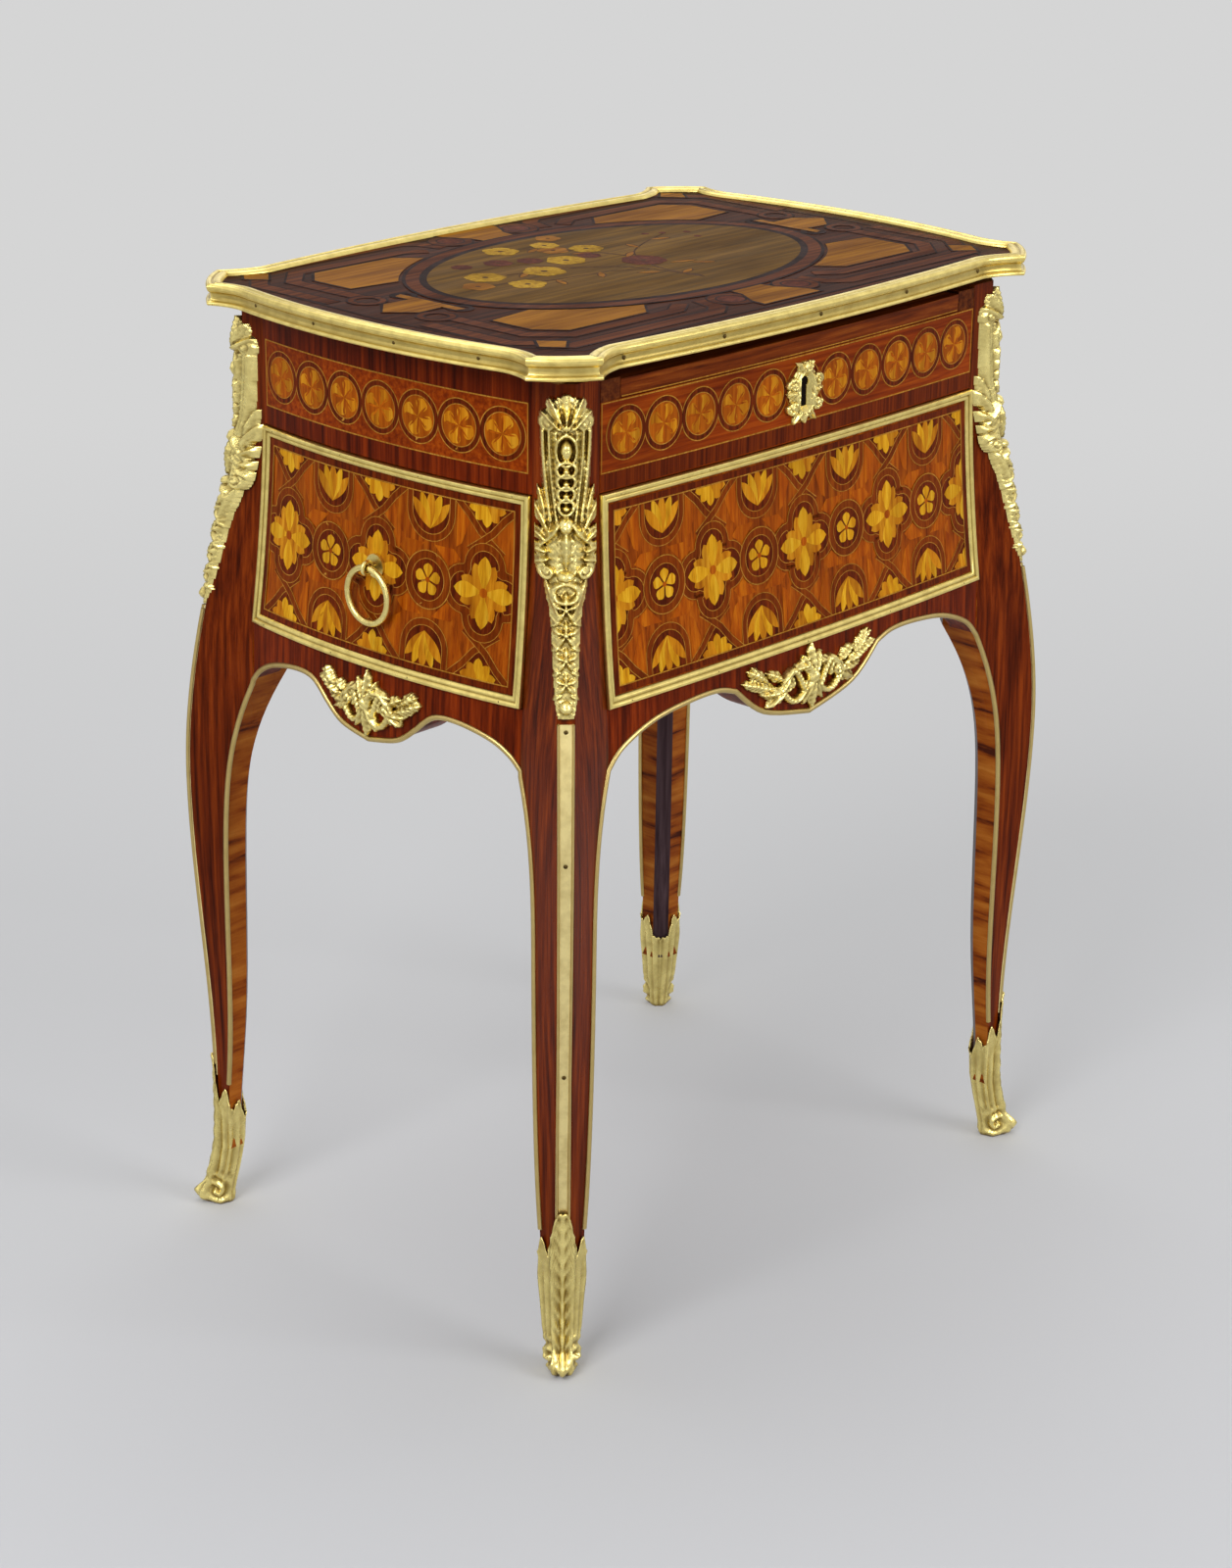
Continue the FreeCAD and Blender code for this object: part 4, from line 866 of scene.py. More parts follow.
def build_rim():
    pts, sharp = rim_outline()
    n = len(pts)
    verts, faces = [], []
    for i, p in enumerate(pts):
        a = np.array(p) - np.array(pts[i - 1])
        b = np.array(pts[(i + 1) % n]) - np.array(p)
        a, b = a / np.linalg.norm(a), b / np.linalg.norm(b)
        normal = np.array([-(a + b)[1], (a + b)[0]])
        normal /= np.linalg.norm(normal)
        reach = 1.0 / max(float(normal @ np.array([-a[1], a[0]])), 0.5)
        for d, z in RIM_PROFILE:
            verts.append((p[0] + normal[0] * d * reach, p[1] + normal[1] * d * reach, z))
    m = len(RIM_PROFILE)
    for i in range(n):
        j = (i + 1) % n
        for k in range(m - 1):
            faces.append((i * m + k, j * m + k, j * m + k + 1, i * m + k + 1))
    piece = make_piece("rim_moulding", verts, faces, MATS["gilt"], "top")
    mod = piece.modifiers.new("edges", "EDGE_SPLIT")
    mod.split_angle = math.radians(38)
    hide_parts("top_rim")


build_rim()


def dome(center, normal, r, height, rings=4, around=12):
    """Vertices and faces of a small round screw or nail head."""
    normal = Vector(normal).normalized()
    side = normal.orthogonal().normalized()
    other = normal.cross(side)
    verts, faces = [], []
    for i in range(rings):
        share = 1.0 - i / rings
        lift = height * (1.0 - share ** 2) - 0.3
        for k in range(around):
            a = 2 * math.pi * k / around
            verts.append(tuple(Vector(center) + side * (r * share * math.cos(a)) + other * (r * share * math.sin(a)) + normal * lift))
    verts.append(tuple(Vector(center) + normal * (height - 0.3)))
    for i in range(rings - 1):
        for k in range(around):
            faces.append((i * around + k, i * around + (k + 1) % around,
                (i + 1) * around + (k + 1) % around, (i + 1) * around + k))
    last = (rings - 1) * around
    faces += [(last + k, last + (k + 1) % around, rings * around) for k in range(around)]
    return verts, faces


def heads(name, body, spots, mat, r=1.3, height=0.8):
    verts, faces = [], []
    for center, normal in spots:
        v, f = dome(center, normal, r, height)
        start = len(verts)
        verts += v
        faces += [tuple(i + start for i in face) for face in f]
    return make_piece(name, verts, faces, MATS[mat], body)


rim_screws = []
for x in (-186, -96, 0, 96, 186):
    for sy in (-1, 1):
        y = 170.2 + 9.2 * (1 - (x / 192.0) ** 2) * 1.0 - 3.0
        rim_screws.append(((x, sy * y, 701.2), (0, sy, 0)))
for y in (-104, -36, 40, 106):
    for sx in (-1, 1):
        x = 252.5 + 13.0 * (1 - (y / 122.0) ** 2) - 3.0
        rim_screws.append(((sx * x, y, 701.2), (sx, 0, 0)))
heads("rim_screws", "top", rim_screws, "screw", 1.5, 0.9)


# Gilt frames round the panels, mitred at the corners

FRAME_PROFILE = [(-0.2, -0.5), (-0.2, 2.2), (0.5, 2.9), (1.6, 3.2), (2.7, 3.0), (3.3, 2.3), (3.7, 1.7),
    (4.3, 1.9), (5.2, 2.1),
                 (6.1, 1.8), (6.8, 1.0), (7.2, 0.2), (7.4, -0.5)]


def build_frame(side, node, body, long_side, gap):
    inner = LONG_HALF if long_side else SHORT_HALF
    steps = 26 if long_side else 20
    verts, faces = [], []
    rings = []
    top_z, low_z = CASE_TOP - gap, CASE_LOW + gap

    def at(u_share, v_share, d, lift):
        z = low_z + d + (top_z - low_z - 2 * d) * v_share
        half = inner + float(spread(z)) - gap - d
        u = half * (2 * u_share - 1)
        out = float(face_out(side, np.array(u), np.array(z))) + lift
        return tuple(on_side(side, np.array(u), np.array(out), np.array(z)))
    loop = [(i / steps, 0.0) for i in range(steps)] + [(1.0, i / 8) for i in range(8)]
    loop += [(1.0 - i / steps, 1.0) for i in range(steps)] + [(0.0, 1.0 - i / 8) for i in range(8)]
    m = len(FRAME_PROFILE)
    for us, vs in loop:
        rings.append(len(verts))
        for d, lift in FRAME_PROFILE:
            verts.append(at(us, vs, max(d, 0.0), lift))
    n = len(loop)
    for i in range(n):
        for k in range(m - 1):
            faces.append((rings[i] + k, rings[(i + 1) % n] + k, rings[(i + 1) % n] + k + 1,
                rings[i] + k + 1))
    piece = make_piece("moulding_" + node, verts, faces, MATS["gilt"], body)
    piece.modifiers.new("edges", "EDGE_SPLIT").split_angle = math.radians(35)
    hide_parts(node)
    spots = []
    places = (-0.93, -0.5, -0.02, 0.46, 0.93) if long_side else (-0.92, -0.3, 0.3, 0.92)
    for share in places:
        for vs in (0.0, 1.0):
            z = low_z + 2.0 + (top_z - low_z - 4.0) * vs
            u = share * (inner - 3.0)
            out = float(face_out(side, np.array(u), np.array(z))) + 2.9
            spots.append((tuple(on_side(side, np.array(u), np.array(out), np.array(z))),
                          tuple(on_side(side, np.array(0.0), np.array(1.0), np.array(0.0)))))
    heads("nails_" + node, body, spots, "screw", 0.9, 0.7)


build_frame("front", "panel_frame_front", "carcass", True, 0.0)
build_frame("back", "panel_frame_back", "carcass", True, 0.0)
build_frame("right", "panel_frame_right", "carcass", False, 0.0)
build_frame("left", "side_drawer_frame", "side_drawer", False, 0.8)


# Gilt beads along the legs' inner edges and the aprons' arches

ARCHES = {True: (457.6, [(1.0, 0.0), (0.93, 0.44), (0.78, 0.84), (0.6, 1.0), (0.47, 1.0),
    (0.385, 0.84)], 201.0),
          False: (450.6, [(1.0, 0.0), (0.93, 0.4), (0.81, 0.76), (0.61, 1.0), (0.45, 0.94),
          (0.33, 0.4)], 131.5)}


def bead_path(side, hand):
    """From a leg's sabot up its inner edge and along the arch to the apron's middle, as face points."""
    long_side = side in ("front", "back")
    crown, shares, half = ARCHES[long_side]
    across, out = (POST_X, POST_Y) if long_side else (POST_Y, POST_X)
    path = []
    for z in np.linspace(104.0, 424.0, 30):
        depth, back = inner_edge(float(z))
        k = float(knee(z))
        path.append((hand * (across + k - depth), out + k - back, z))
    arch = [(half * a, APRON_TOP + (crown - APRON_TOP) * b) for a, b in shares]
    cusp = arch[-1]
    flat = smooth_path(arch) + smooth_path([cusp, (cusp[0] * 0.62, 420.0 + (cusp[1] - 420.0) * 0.34),
        (0.0, 420.0)])[1:]
    for u, z in flat:
        path.append((hand * u, float(face_out(side, np.array(u), np.array(z))), z))
    return path


def tube(points, wide, proud, normals, n=8):
    """A half-round bead laid along points."""
    verts, faces = [], []
    for i, p in enumerate(points):
        a = Vector(points[max(i - 1, 0)])
        b = Vector(points[min(i + 1, len(points) - 1)])
        along = (b - a).normalized()
        up = Vector(normals[i]).normalized()
        across = along.cross(up).normalized()
        for k in range(n):
            t = 2 * math.pi * k / n
            verts.append(tuple(Vector(p) + across * (wide / 2 * math.cos(t)) + up * (proud * math.sin(t))))
    for i in range(len(points) - 1):
        for k in range(n):
            faces.append((i * n + k, i * n + (k + 1) % n, (i + 1) * n + (k + 1) % n, (i + 1) * n + k))
    return verts, faces


for side in SIDES:
    verts, faces = [], []
    for hand in (-1, 1):
        path = bead_path(side, hand)
        pts = [tuple(on_side(side, np.array(u), np.array(out), np.array(z))) for u, out, z in path]
        normal = tuple(on_side(side, np.array(0.0), np.array(1.0), np.array(0.0)))
        v, f = tube(pts, 4.0, 1.8, [normal] * len(pts))
        start = len(verts)
        verts += v
        faces += [tuple(i + start for i in face) for face in f]
    piece = make_piece("edge_bead_" + side, verts, faces, MATS["gilt_strip"], "carcass")


# Reliefs: chased ornaments raised from height fields

def petal_height(U, V, x, y, angle, length, width, high, ribs=3.0, curl=0.0, blunt=0.8):
    """A lobed leaf with ribs, from its root to its tip."""
    a = math.radians(angle)
    du, dv = U - x, V - y
    t = (du * math.cos(a) + dv * math.sin(a)) / length
    w = (-du * math.sin(a) + dv * math.cos(a)) - curl * length * t * t
    tt = np.clip(t, 0.001, 0.999)
    half = width / 2.0 * np.sin(np.pi * tt ** blunt) ** 0.7 * (1.0 + 0.12 * np.sin(tt * ribs * 2 * np.pi))
    s = w / np.maximum(half, 0.01)
    inside = (t > 0) & (t < 1) & (np.abs(s) < 1)
    rise = np.sqrt(np.maximum(1 - s * s, 0)) * (0.65 + 0.35 * np.abs(np.cos(s * 2.6)))
    rise = rise * (0.5 + 0.5 * np.sin(np.pi * tt ** 0.6)) + 0.12 * np.exp(-(s / 0.14) ** 2)
    return np.where(inside, high * rise, -1.0)


def knob(U, V, x, y, ru, rv, high):
    d = ((U - x) / ru) ** 2 + ((V - y) / rv) ** 2
    return np.where(d < 1, high * np.sqrt(np.maximum(1 - d, 0)), -1.0)


def ring_height(U, V, x, y, ru, rv, thick, high):
    d = (np.sqrt(((U - x) / ru) ** 2 + ((V - y) / rv) ** 2) - 1.0) * min(ru, rv)
    return np.where(np.abs(d) < thick, high * np.sqrt(np.maximum(1 - (d / thick) ** 2, 0)), -1.0)


def volute(U, V, x, y, r, turn, hand, thick, high, turns=1.4):
    """A scroll that winds in to its eye."""
    best = np.full(U.shape, -1.0)
    for i in range(46):
        t = i / 45.0
        a = math.radians(turn) + hand * t * turns * 2 * math.pi
        rr = r * (1 - 0.78 * t)
        k = thick * (1.0 - 0.45 * t)
        best = np.maximum(best, knob(U, V, x + rr * math.cos(a), y + rr * math.sin(a), k, k,
            high * (0.75 + 0.25 * t)))
    return np.maximum(best, knob(U, V, x, y, thick * 1.1, thick * 1.1, high * 1.1))


def face_outwards(piece):
    bm = bmesh.new()
    bm.from_mesh(piece.data)
    bmesh.ops.recalc_face_normals(bm, faces=bm.faces[:])
    bm.to_mesh(piece.data)
    bm.free()


def relief(name, body, height_fn, place_fn, u_range, v_range, step):
    """A cast ornament from a height field: its face, its side walls and no back."""
    us = np.arange(u_range[0], u_range[1] + step / 2, step)
    vs = np.arange(v_range[0], v_range[1] + step / 2, step)
    U, V = np.meshgrid(us, vs)
    H = height_fn(U, V)
    inside = H > 0
    P = place_fn(U, V, np.maximum(H, 0.0))
    base = place_fn(U, V, np.full(U.shape, -2.2))
    index, verts, faces = {}, [], []

    def vertex(i, j, low=False):
        key = (i, j, low)
        if key not in index:
            index[key] = len(verts)
            verts.append(tuple(base[i, j] if low else P[i, j]))
        return index[key]
    rows, cols = U.shape
    cell = inside[:-1, :-1] & inside[1:, :-1] & inside[:-1, 1:] & inside[1:, 1:]
    for i in range(rows - 1):
        for j in range(cols - 1):
            if not cell[i, j]:
                continue
            faces.append((vertex(i, j), vertex(i, j + 1), vertex(i + 1, j + 1), vertex(i + 1, j)))
            for di, dj, a, b in ((-1, 0, (i, j), (i, j + 1)), (1, 0, (i + 1, j + 1), (i + 1, j)),
                                 (0, -1, (i + 1, j), (i, j)), (0, 1, (i, j + 1), (i + 1, j + 1))):
                ni, nj = i + di, j + dj
                if not (0 <= ni < rows - 1 and 0 <= nj < cols - 1 and cell[ni, nj]):
                    faces.append((vertex(*b), vertex(*a), vertex(*a, True), vertex(*b, True)))
    piece = make_piece(name, verts, faces, MATS["gilt_relief"], body)
    face_outwards(piece)
    return piece


def corner_mount_height(U, V):
    """Shell, long cartouche between ribs, side leaves, scrolls and a hanging garland."""
    A = np.abs(U)
    H = np.full(U.shape, -1.0)

    def put(h):
        nonlocal H
        H = np.maximum(H, h)
    half = np.interp(V, [476, 484, 500, 530, 558, 570, 580, 600, 618, 640, 656, 664, 672, 680],
                     [5.5, 7.2, 8.2, 9.6, 12.5, 12.0, 13.0, 13.5, 15.5, 16.5, 16.8, 14.0, 11.0, 6.0])
    solid = (A < half) & (V > 476) & (V < 680)
    put(np.where(solid, 1.1 + 1.3 * np.sqrt(np.maximum(1 - (A / half) ** 2, 0)), -1.0))
    for angle, length in ((38, 21), (142, 21), (64, 25), (116, 25), (90, 26)):
        put(petal_height(U, V, 0, 657, angle, length, 12.0, 8.2, ribs=1.0, blunt=2.0))
    put(volute(A, V, 12.0, 662, 4.6, 90, -1, 2.6, 6.6))
    put(knob(U, V, 0, 661, 7.0, 3.4, 7.8))
    for i in range(90):
        v = 657 - i * 0.63
        x = 15.2 - 5.0 * (i / 89.0) ** 1.6
        put(knob(A, V, x, v, 1.9, 2.6, 7.4))
        put(knob(A, V, x - 4.0, v, 1.2, 2.6, 5.8))
    flute = (np.abs(A - 9.2) < 3.2) & (V > 602) & (V < 657)
    put(np.where(flute, 3.2 + 2.4 * ((A - 9.2) / 3.2) ** 2, -1.0))
    put(ring_height(U, V, 0, 646, 6.6, 10.0, 1.3, 7.0))
    put(knob(U, V, 0, 646, 4.6, 7.6, 9.6))
    for i, v in enumerate((634, 626, 618, 610)):
        put(ring_height(U, V, 0, v, 6.2 - 0.5 * i, 5.0, 1.6, 8.0))
        put(knob(U, V, 0, v - 1, 3.0, 2.8, 8.8))
    for x, y, angle, length, width in ((11, 592, 66, 24, 8), (12, 586, 40, 17, 8), (12, 580, 12, 13, 8),
            (11, 576, -16, 13, 8),
                                       (13, 600, 82, 22, 6.5)):
        put(petal_height(A, V, x, y, angle, length, width, 7.2, curl=-0.1))
    put(knob(U, V, 0, 598, 5.5, 6.5, 10.2))
    put(petal_height(U, V, 0, 596, -90, 26, 12, 8.6, ribs=4))
    put(petal_height(A, V, 4, 600, -62, 22, 8, 7.6, curl=0.15))
    put(volute(A, V, 12.6, 568, 4.8, 60, -1, 2.4, 7.0))
    put(petal_height(A, V, 13, 563, -108, 30, 7.5, 6.0, curl=-0.06))
    put(ring_height(U, V, 0, 556, 8.5, 6.0, 1.9, 7.6))
    put(knob(U, V, 0, 566, 6.0, 4.0, 8.2))
    for y, size in ((546, 1.0), (530, 0.9), (514, 0.82), (499, 0.76)):
        for k in range(5):
            put(petal_height(U, V, 0, y, 90 + 72 * k, 10.2 * size, 9.6 * size, 7.2 * size, ribs=1,
                blunt=1.9))
        put(knob(U, V, 0, y, 2.4 * size, 2.4 * size, 8.8 * size))
        put(petal_height(A, V, 3, y - 7, -35, 9.5 * size, 5 * size, 5.2 * size, ribs=2))
        put(petal_height(A, V, 3, y + 6, 30, 9.5 * size, 5 * size, 5.2 * size, ribs=2))
    put(knob(U, V, 0, 484, 4.6, 5.0, 6.6))
    ripple = 0.25 * np.sin(V * 1.55 + A * 0.9) * np.cos(A * 0.75) + 0.12 * np.sin(V * 2.7 - A * 2.1)
    return np.where(H > 0, H + ripple, H)


def on_corner(sx, sy):
    """Maps across, level and height to the outside of a corner post."""
    def place(U, V, H):
        k = knee(V)
        out = H - np.maximum(np.abs(U) - 6.0, 0.0)
        base_x, base_y = POST_X + k - 4.243, POST_Y + k - 4.243
        x = base_x + (out + U) * SLANT
        y = base_y + (out - U) * SLANT
        return np.stack([x * sx, y * sy, V], axis=-1)
    return place


for corner, (sx, sy) in CORNERS.items():
    mount = relief("ornament_corner_" + corner, "carcass", corner_mount_height, on_corner(sx, sy),
        (-19.8, 19.8), (474.0, 684.6), 0.66)
    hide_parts("corner_mount_" + corner)


def apron_mount_height(half):
    """A bow of leaves in the middle with open acanthus scrolls to both sides."""
    def height(U, V):
        k = half / 73.0
        A = np.abs(U)
        H = np.full(U.shape, -1.0)

        def put(h):
            nonlocal H
            H = np.maximum(H, h)
        for angle, length in ((90, 25), (62, 20), (118, 20)):
            put(petal_height(U, V, 0, 446, angle, length, 9, 7.0))
        for angle, length in ((-90, 25), (-62, 22), (-118, 22)):
            put(petal_height(U, V, 0, 447, angle, length, 10, 7.0))
        put(petal_height(A, V, 2, 455, 8, 20, 8, 6.4, curl=-0.2))
        put(knob(U, V, 0, 447, 6, 8, 9.0))
        for i in range(34):
            t = i / 33.0
            x, y = k * (8 + 24 * t), 438 + 15 * math.sin(t * math.pi * 0.95) ** 1.2 + 3 * t
            put(knob(A, V, x, y, 3.0, 3.0, 6.0))
            x, y = k * (8 + 26 * t), 437 - 6 * math.sin(t * math.pi) + 8 * t * t
            put(knob(A, V, x, y, 2.8, 2.8, 5.8))
        put(volute(A, V, 27 * k, 446, 6.5, 200, -1, 2.4, 6.4))
        put(petal_height(A, V, 30 * k, 443, -38, 20 * k, 10, 6.0, curl=0.2))
        put(petal_height(A, V, 30 * k, 444, -8, 24 * k, 10, 6.0, curl=0.15))
        put(petal_height(A, V, 32 * k, 450, 40, 18 * k, 9, 5.6, curl=-0.2))
        put(petal_height(A, V, 40 * k, 447, 10, 28 * k, 10.5, 5.6, curl=0.12))
        put(petal_height(A, V, 47 * k, 452, 38, 24 * k, 9.5, 5.2, curl=-0.12))
        put(petal_height(A, V, 54 * k, 452, 6, 19 * k, 8.5, 4.8, curl=0.15))
        put(petal_height(A, V, 54 * k, 455, 58, 15 * k, 8, 4.6, curl=-0.1))
        ripple = 0.35 * np.sin(V * 1.5 + A * 1.2)
        return np.where(H > 0, H + ripple + 0.2, H)
    return height


def on_apron(side):
    def place(U, V, H):
        out = face_out(side, U, V) + H
        return on_side(side, U, out, V)
    return place


for side in SIDES:
    half = 73.0 if side in ("front", "back") else 50.0
    mount = relief("ornament_apron_" + side, "carcass", apron_mount_height(half), on_apron(side),
        (-half, half), (420.5, 471.5), 0.66)
    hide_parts("apron_mount_" + side)


# Sabots: a leafy cup round each ankle that runs into a turned-out scroll toe

CORNER_FLAT, INNER_FLAT = 8.485, 9.2


def leg_ring(z, count):
    """Even points round a leg's section: across the corner's diagonal and outwards along it."""
    depth, back = inner_edge(float(max(z, ANKLE_Z)))
    x, y = POST_X + float(knee(z)), POST_Y + float(knee(z))
    poly = [(x, y - CORNER_FLAT), (x - back, y - depth), (x - depth + INNER_FLAT, y - depth),
            (x - depth, y - depth + INNER_FLAT), (x - depth, y - back), (x - CORNER_FLAT, y)]
    closed = np.array(poly + poly[:1])
    steps = np.linalg.norm(np.diff(closed, axis=0), axis=1)
    total = np.concatenate([[0.0], np.cumsum(steps)])
    start = total[-1] - steps[-1] / 2.0
    spots = (start + total[-1] * np.arange(count) / count) % total[-1]
    return np.stack([np.interp(spots, total, closed[:, 0]), np.interp(spots, total, closed[:, 1])], axis=-1)


DIAGONAL, ACROSS = np.array([SLANT, SLANT]), np.array([SLANT, -SLANT])


def build_sabot(corner, sx, sy):
    count, rows = 96, 76
    turn = np.arange(count) / count
    side = np.minimum(turn, 1.0 - turn)
    crest = np.interp(side, [0.0, 0.035, 0.06, 0.085, 0.12, 0.16, 0.2, 0.24, 0.3, 0.36, 0.42, 0.5],
                      [121.0, 119.0, 110.0, 101.0, 84.0, 92.0, 99.0, 86.0, 80.0, 88.0, 70.0, 66.0])
    crest = crest + 2.2 * np.abs(np.sin(side * 2 * math.pi * 13))
    levels = [0.0, 8.0, 18.0, 33.0, 50.0, 70.0]
    verts, faces = [], []
    for r in range(rows + 1):
        share = r / rows
        z = crest * (1.0 - share) + 0.0
        for j in range(count):
            zz = float(z[j])
            ring = SABOT_RINGS[int(round(min(max(zz, 40.0), 124.0)))]
            p = ring[j]
            middle = ring.mean(axis=0)
            out_dir = p - middle
            out_dir = out_dir / np.linalg.norm(out_dir)
            across = float(np.interp(zz, levels, [0.58, 0.64, 0.7, 0.8, 0.88, 1.0]))
            along = float(np.interp(zz, levels, [1.05, 1.12, 1.02, 0.96, 0.97, 1.0]))
            shift = float(np.interp(zz, levels, [7.0, 7.6, 5.6, 2.8, 0.6, 0.0]))
            s = float(side[j])
            flute = 0.9 * math.cos(s * 2 * math.pi * 11 + 0.02 * zz) * min(max((84.0 - zz) / 20.0, 0.0),
                1.0)
            rib = 2.4 * math.exp(-(s / 0.018) ** 2) + 1.5 * math.exp(-((s - 0.085) / 0.016) ** 2) * (zz < 96)
            leafy = 1.7 * abs(math.cos((zz - 230 * s) * 0.27)) * math.exp(-((s - 0.05) / 0.05) ** 2)
            scroll = 4.6 * math.exp(-((zz - 8.0) / 5.5) ** 2) * math.exp(-(s / 0.13) ** 2)
            scroll -= 1.2 * math.exp(-((zz - 19.0) / 3.5) ** 2) * math.exp(-(s / 0.16) ** 2)
            edge = 1.1 * math.exp(-((float(crest[j]) - zz) / 3.0) ** 2)
            forth = float((p - middle) @ DIAGONAL) * along
            aside = float((p - middle) @ ACROSS) * across
            u, w = forth + shift * 1.41 - 12.0, zz - 12.0
            far = math.hypot(u, w)
            flank = min(max((s - 0.06) / 0.05, 0.0), 1.0) * (s < 0.36)
            curl = 2.2 * math.cos(math.atan2(w, u) + far * 0.8) * math.exp(-(far / 11.0) ** 2) * flank
            lift = 1.6 + flute * (1.0 - 0.7 * flank * (zz < 26)) + rib + leafy + scroll + edge + curl
            lift *= min(1.0, 0.25 + zz / 4.0)
            q = middle + DIAGONAL * forth + ACROSS * aside + out_dir * lift + np.array([shift, shift])
            q = np.minimum(q, [265.0, 192.8])
            verts.append((q[0] * sx, q[1] * sy, zz))
    for r in range(rows):
        for j in range(count):
            k = (j + 1) % count
            faces.append((r * count + j, r * count + k, (r + 1) * count + k, (r + 1) * count + j))
    last = rows * count
    faces.append([last + j for j in range(count)])
    piece = make_piece("cast_sabot_" + corner, verts, faces, MATS["gilt_relief"], "carcass")
    face_outwards(piece)
    solid = piece.modifiers.new("wall", "SOLIDIFY")
    solid.thickness = 1.2 * MM
    solid.offset = -1.0
    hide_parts("sabot_" + corner)


SABOT_RINGS = {z: leg_ring(z, 96) for z in range(40, 125)}
for corner, (sx, sy) in CORNERS.items():
    build_sabot(corner, sx, sy)


def corner_spot(z, out, across):
    k = float(knee(z))
    x = POST_X + k - 4.243 + (out + across) * SLANT
    y = POST_Y + k - 4.243 + (out - across) * SLANT
    return x, y


verts, faces, strip_screws = [], [], []
for sx, sy in CORNERS.values():
    for across in (-1, 1):
        levels = list(np.linspace(473.0, 116.0, 50))
        pts = []
        for z in levels:
            width = 4.9 - 1.1 * (473.0 - z) / 357.0
            x, y = corner_spot(z, 1.5, across * width)
            pts.append((x * sx, y * sy, z))
        v, f = tube(pts, 1.9, 1.5, [(sx, sy, 0.0)] * len(pts))
        start = len(verts)
        verts += v
        faces += [tuple(i + start for i in face) for face in f]
    for z in (468.0, 380.0, 226.0):
        x, y = corner_spot(z, 1.6, 0.0)
        strip_screws.append(((x * sx, y * sy, z), (sx, sy, 0.0)))
make_piece("corner_reeds", verts, faces, MATS["gilt_strip"], "carcass")
heads("strip_screws", "carcass", strip_screws, "screw", 1.5, 0.8)


# Escutcheon with its keyhole

def escutcheon_height(U, V):
    A, Z = np.abs(U), V - 646.0
    H = np.full(U.shape, -1.0)
    parts = [knob(U, Z, 0, 0, 15.5, 17.5, 3.0), ring_height(U, Z, 0, 0, 9.0, 13.0, 2.6, 4.2),
             volute(A, Z, 12.5, 6, 4.5, 0, 1, 2.2, 4.4), volute(A, Z, 12.5, -9, 4.5, 0, -1, 2.2, 4.4),
             petal_height(A, Z, 2, 12, 62, 13, 6, 4.0), petal_height(U, Z, 0, 12, 90, 12, 7, 4.4),
             petal_height(U, Z, 0, -12, -90, 10, 9, 4.0), petal_height(A, Z, 4, -12, -50, 12, 6, 3.8),
             petal_height(A, Z, 8, 0, 4, 11, 8, 3.8)]
    for h in parts:
        H = np.maximum(H, h)
    H = np.where(H > 0, H + 0.35 * np.sin(A * 1.7 + Z * 1.1) + 0.4, H)
    off = np.maximum(A - 2.8, 0.0) + np.maximum(np.abs(Z) - 10.0, 0.0)
    H = np.minimum(H, 0.9 + 0.75 * off)
    hole = ((U / 3.9) ** 2 + ((Z - 6.5) / 3.9) ** 2 < 1) | ((A < 2.8) & (Z < 6) & (Z > -10.0))
    return np.where(hole, -1.0, H)


def on_drawer(U, V, H):
    return on_side("front", U, POST_Y + bow(U, 196.6, 5.0) + H, V)


plate = relief("ornament_escutcheon", "upper_drawer", escutcheon_height, on_drawer, (-19.05, 19.05),
    (624.0, 667.0), 0.3)
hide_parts("escutcheon")


# Camera, light and floor

def look():
    yaw, pitch, roll = math.radians(47.6843042), math.radians(20.89909212), math.radians(0.72428337)
    forward = Vector((math.sin(yaw) * math.cos(pitch), math.cos(yaw) * math.cos(pitch), -math.sin(pitch)))
    right = Vector((math.cos(yaw), -math.sin(yaw), 0.0))
    up = right.cross(forward)
    x_axis = right * math.cos(roll) + up * math.sin(roll)
    y_axis = up * math.cos(roll) - right * math.sin(roll)
    matrix = Matrix((x_axis, y_axis, -forward)).transposed().to_4x4()
    matrix.translation = Vector((-1.677578, -1.523019, 1.182704))
    return matrix


camera = bpy.data.objects.new("camera", bpy.data.cameras.new("camera"))
camera.data.lens = 74.747
camera.data.sensor_width = 36.0
camera.data.clip_end = 60.0
camera.matrix_world = look()
bpy.context.scene.collection.objects.link(camera)
bpy.context.scene.camera = camera


def area(name, place, target, size, power):
    data = bpy.data.lights.new(name, "AREA")
    data.shape = "RECTANGLE"
    data.size, data.size_y = size
    data.energy = power
    lamp = bpy.data.objects.new(name, data)
    lamp.location = place
    lamp.rotation_euler = (Vector(target) - Vector(place)).to_track_quat("-Z", "Y").to_euler()
    bpy.context.scene.collection.objects.link(lamp)


area("key", (-2.6, -0.6, 2.6), (0, 0, 0.45), (1.5, 1.8), 62)
area("fill", (0.8, -3.0, 1.9), (0, 0, 0.4), (1.6, 2.0), 46)
area("top_light", (0.5, 0.9, 3.0), (0, 0, 0.5), (2.2, 2.2), 28)

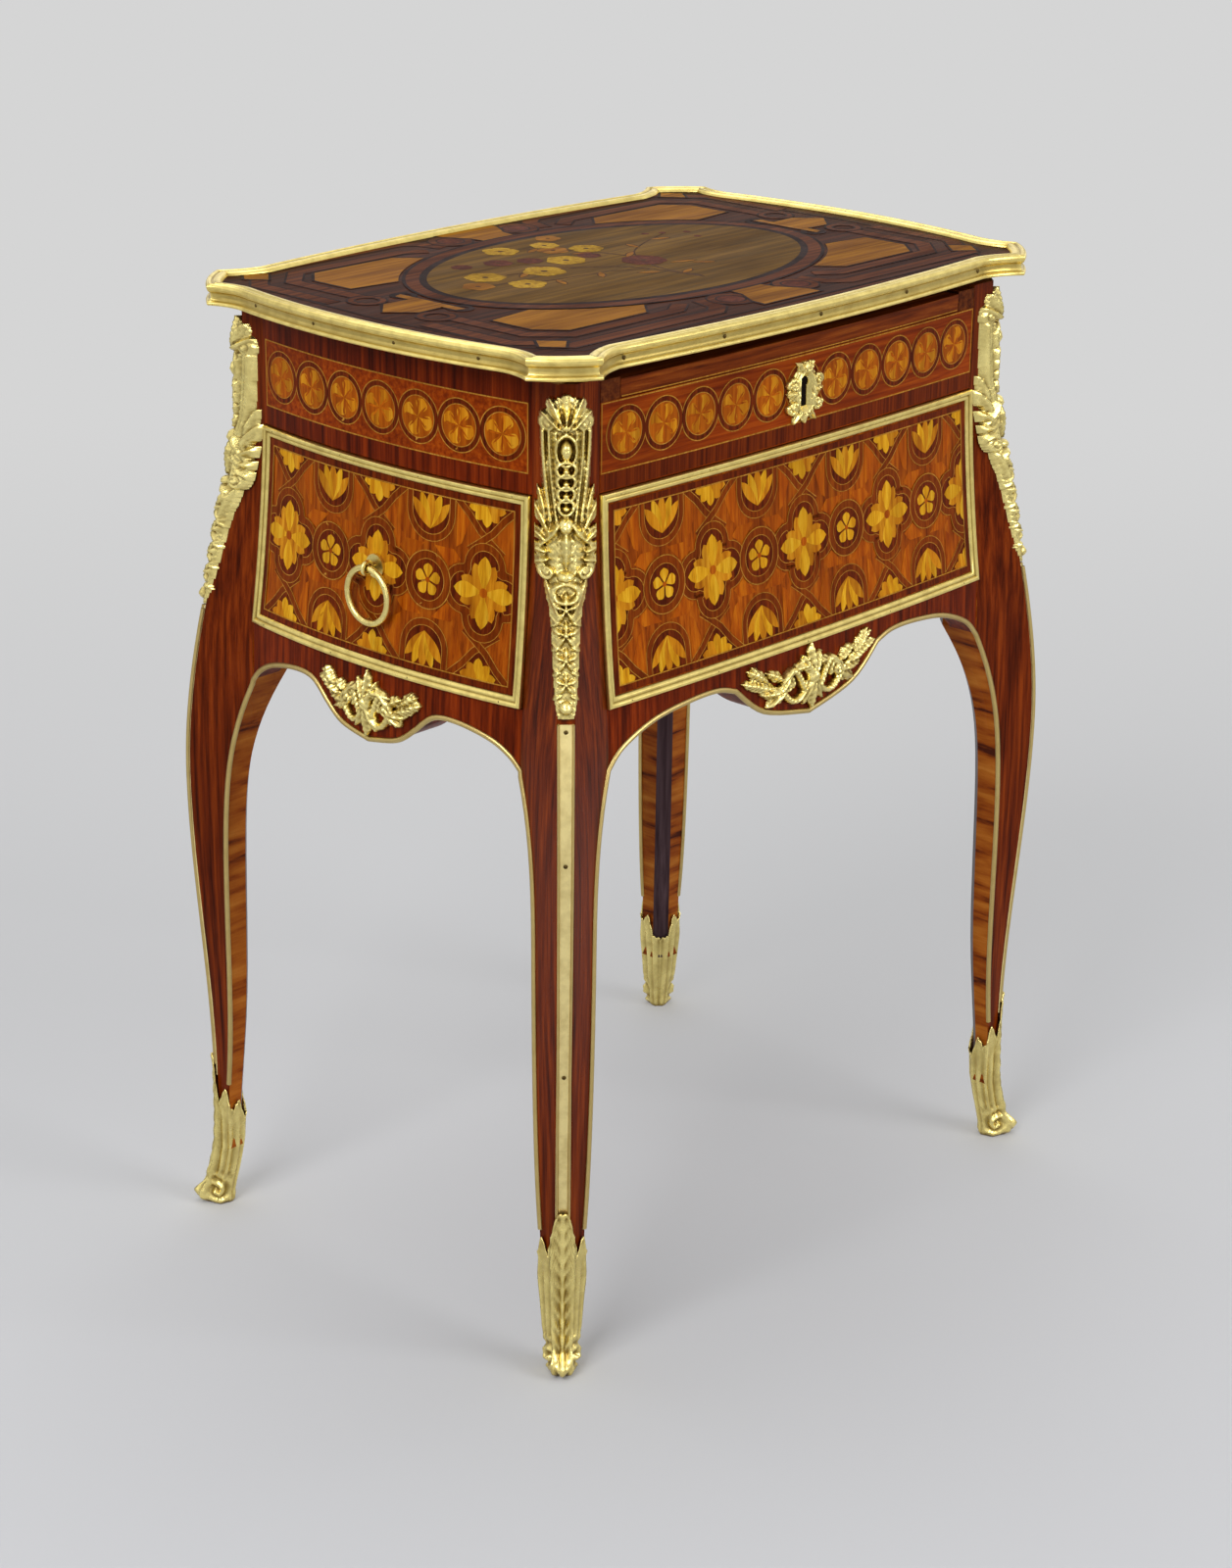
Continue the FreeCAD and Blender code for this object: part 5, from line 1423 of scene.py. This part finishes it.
world = bpy.data.worlds.new("room")
world.use_nodes = True
bpy.context.scene.world = world
wn, wl = world.node_tree.nodes, world.node_tree.links
paths = wn.new("ShaderNodeLightPath")
view = wn.new("ShaderNodeTexCoord").outputs["Generated"]
studio = ramp(wn, wl, noise(wn, wl, view, 2.3, 1.0, 0.4, (1.0, 1.0, 1.0), 5.0),
    [(0.36, (0.1,) * 3), (0.5, (0.62,) * 3), (0.62, (1.25,) * 3)])
mirrored = mix(wn, wl, paths.outputs["Is Glossy Ray"], (0.42, 0.42, 0.42), studio)
shades = mix(wn, wl, paths.outputs["Is Camera Ray"], mirrored, lin(213, 213, 213))
wl.new(shades, wn["Background"].inputs["Color"])
wn["Background"].inputs["Strength"].default_value = 1.0


def build_stage():
    """A pale floor that runs far back and takes on the backdrop's grey with distance."""
    forward = Vector((math.sin(math.radians(47.684)), math.cos(math.radians(47.684)), 0.0))
    side = Vector((forward.y, -forward.x, 0.0))
    verts = [tuple(forward * d + side * s) for d,
        s in ((-6.0, -8.0), (-6.0, 8.0), (14.0, 8.0), (14.0, -8.0))]
    mesh = bpy.data.meshes.new("floor")
    mesh.from_pydata(verts, [], [(0, 1, 2, 3)])
    floor = bpy.data.objects.new("floor", mesh)
    bpy.context.scene.collection.objects.link(floor)
    mat, nodes, links, bsdf = new_material("floor_paper")
    coords = nodes.new("ShaderNodeTexCoord").outputs["Object"]
    soft = noise(nodes, links, coords, 0.6, 2.0, 0.5, (1.0, 1.0, 1.0))
    links.new(ramp(nodes, links, soft, [(0.3, lin(194, 195, 198)), (0.7, lin(200, 201, 204))]),
        bsdf.inputs["Base Color"])
    bsdf.inputs["Roughness"].default_value = 0.9
    bsdf.inputs["Specular IOR Level"].default_value = 0.1
    place = nodes.new("ShaderNodeSeparateXYZ")
    links.new(coords, place.inputs[0])
    ahead = maths(nodes, links, "ADD", maths(nodes, links, "MULTIPLY", place.outputs[0], forward.x),
                  maths(nodes, links, "MULTIPLY", place.outputs[1], forward.y))
    span = nodes.new("ShaderNodeMapRange")
    span.interpolation_type = "SMOOTHSTEP"
    span.inputs["From Min"].default_value = -0.9
    span.inputs["From Max"].default_value = 2.4
    links.new(ahead, span.inputs["Value"])
    glow = nodes.new("ShaderNodeEmission")
    glow.inputs["Color"].default_value = (*lin(213, 213, 213), 1.0)
    light_path = nodes.new("ShaderNodeLightPath")
    seen = maths(nodes, links, "MAXIMUM", light_path.outputs["Is Camera Ray"],
        light_path.outputs["Is Glossy Ray"])
    blend = nodes.new("ShaderNodeMixShader")
    links.new(maths(nodes, links, "MULTIPLY", span.outputs["Result"], seen), blend.inputs[0])
    links.new(bsdf.outputs[0], blend.inputs[1])
    links.new(glow.outputs[0], blend.inputs[2])
    links.new(blend.outputs[0], nodes["Material Output"].inputs["Surface"])
    mesh.materials.append(mat)


build_stage()
bpy.context.scene.view_settings.view_transform = "Standard"
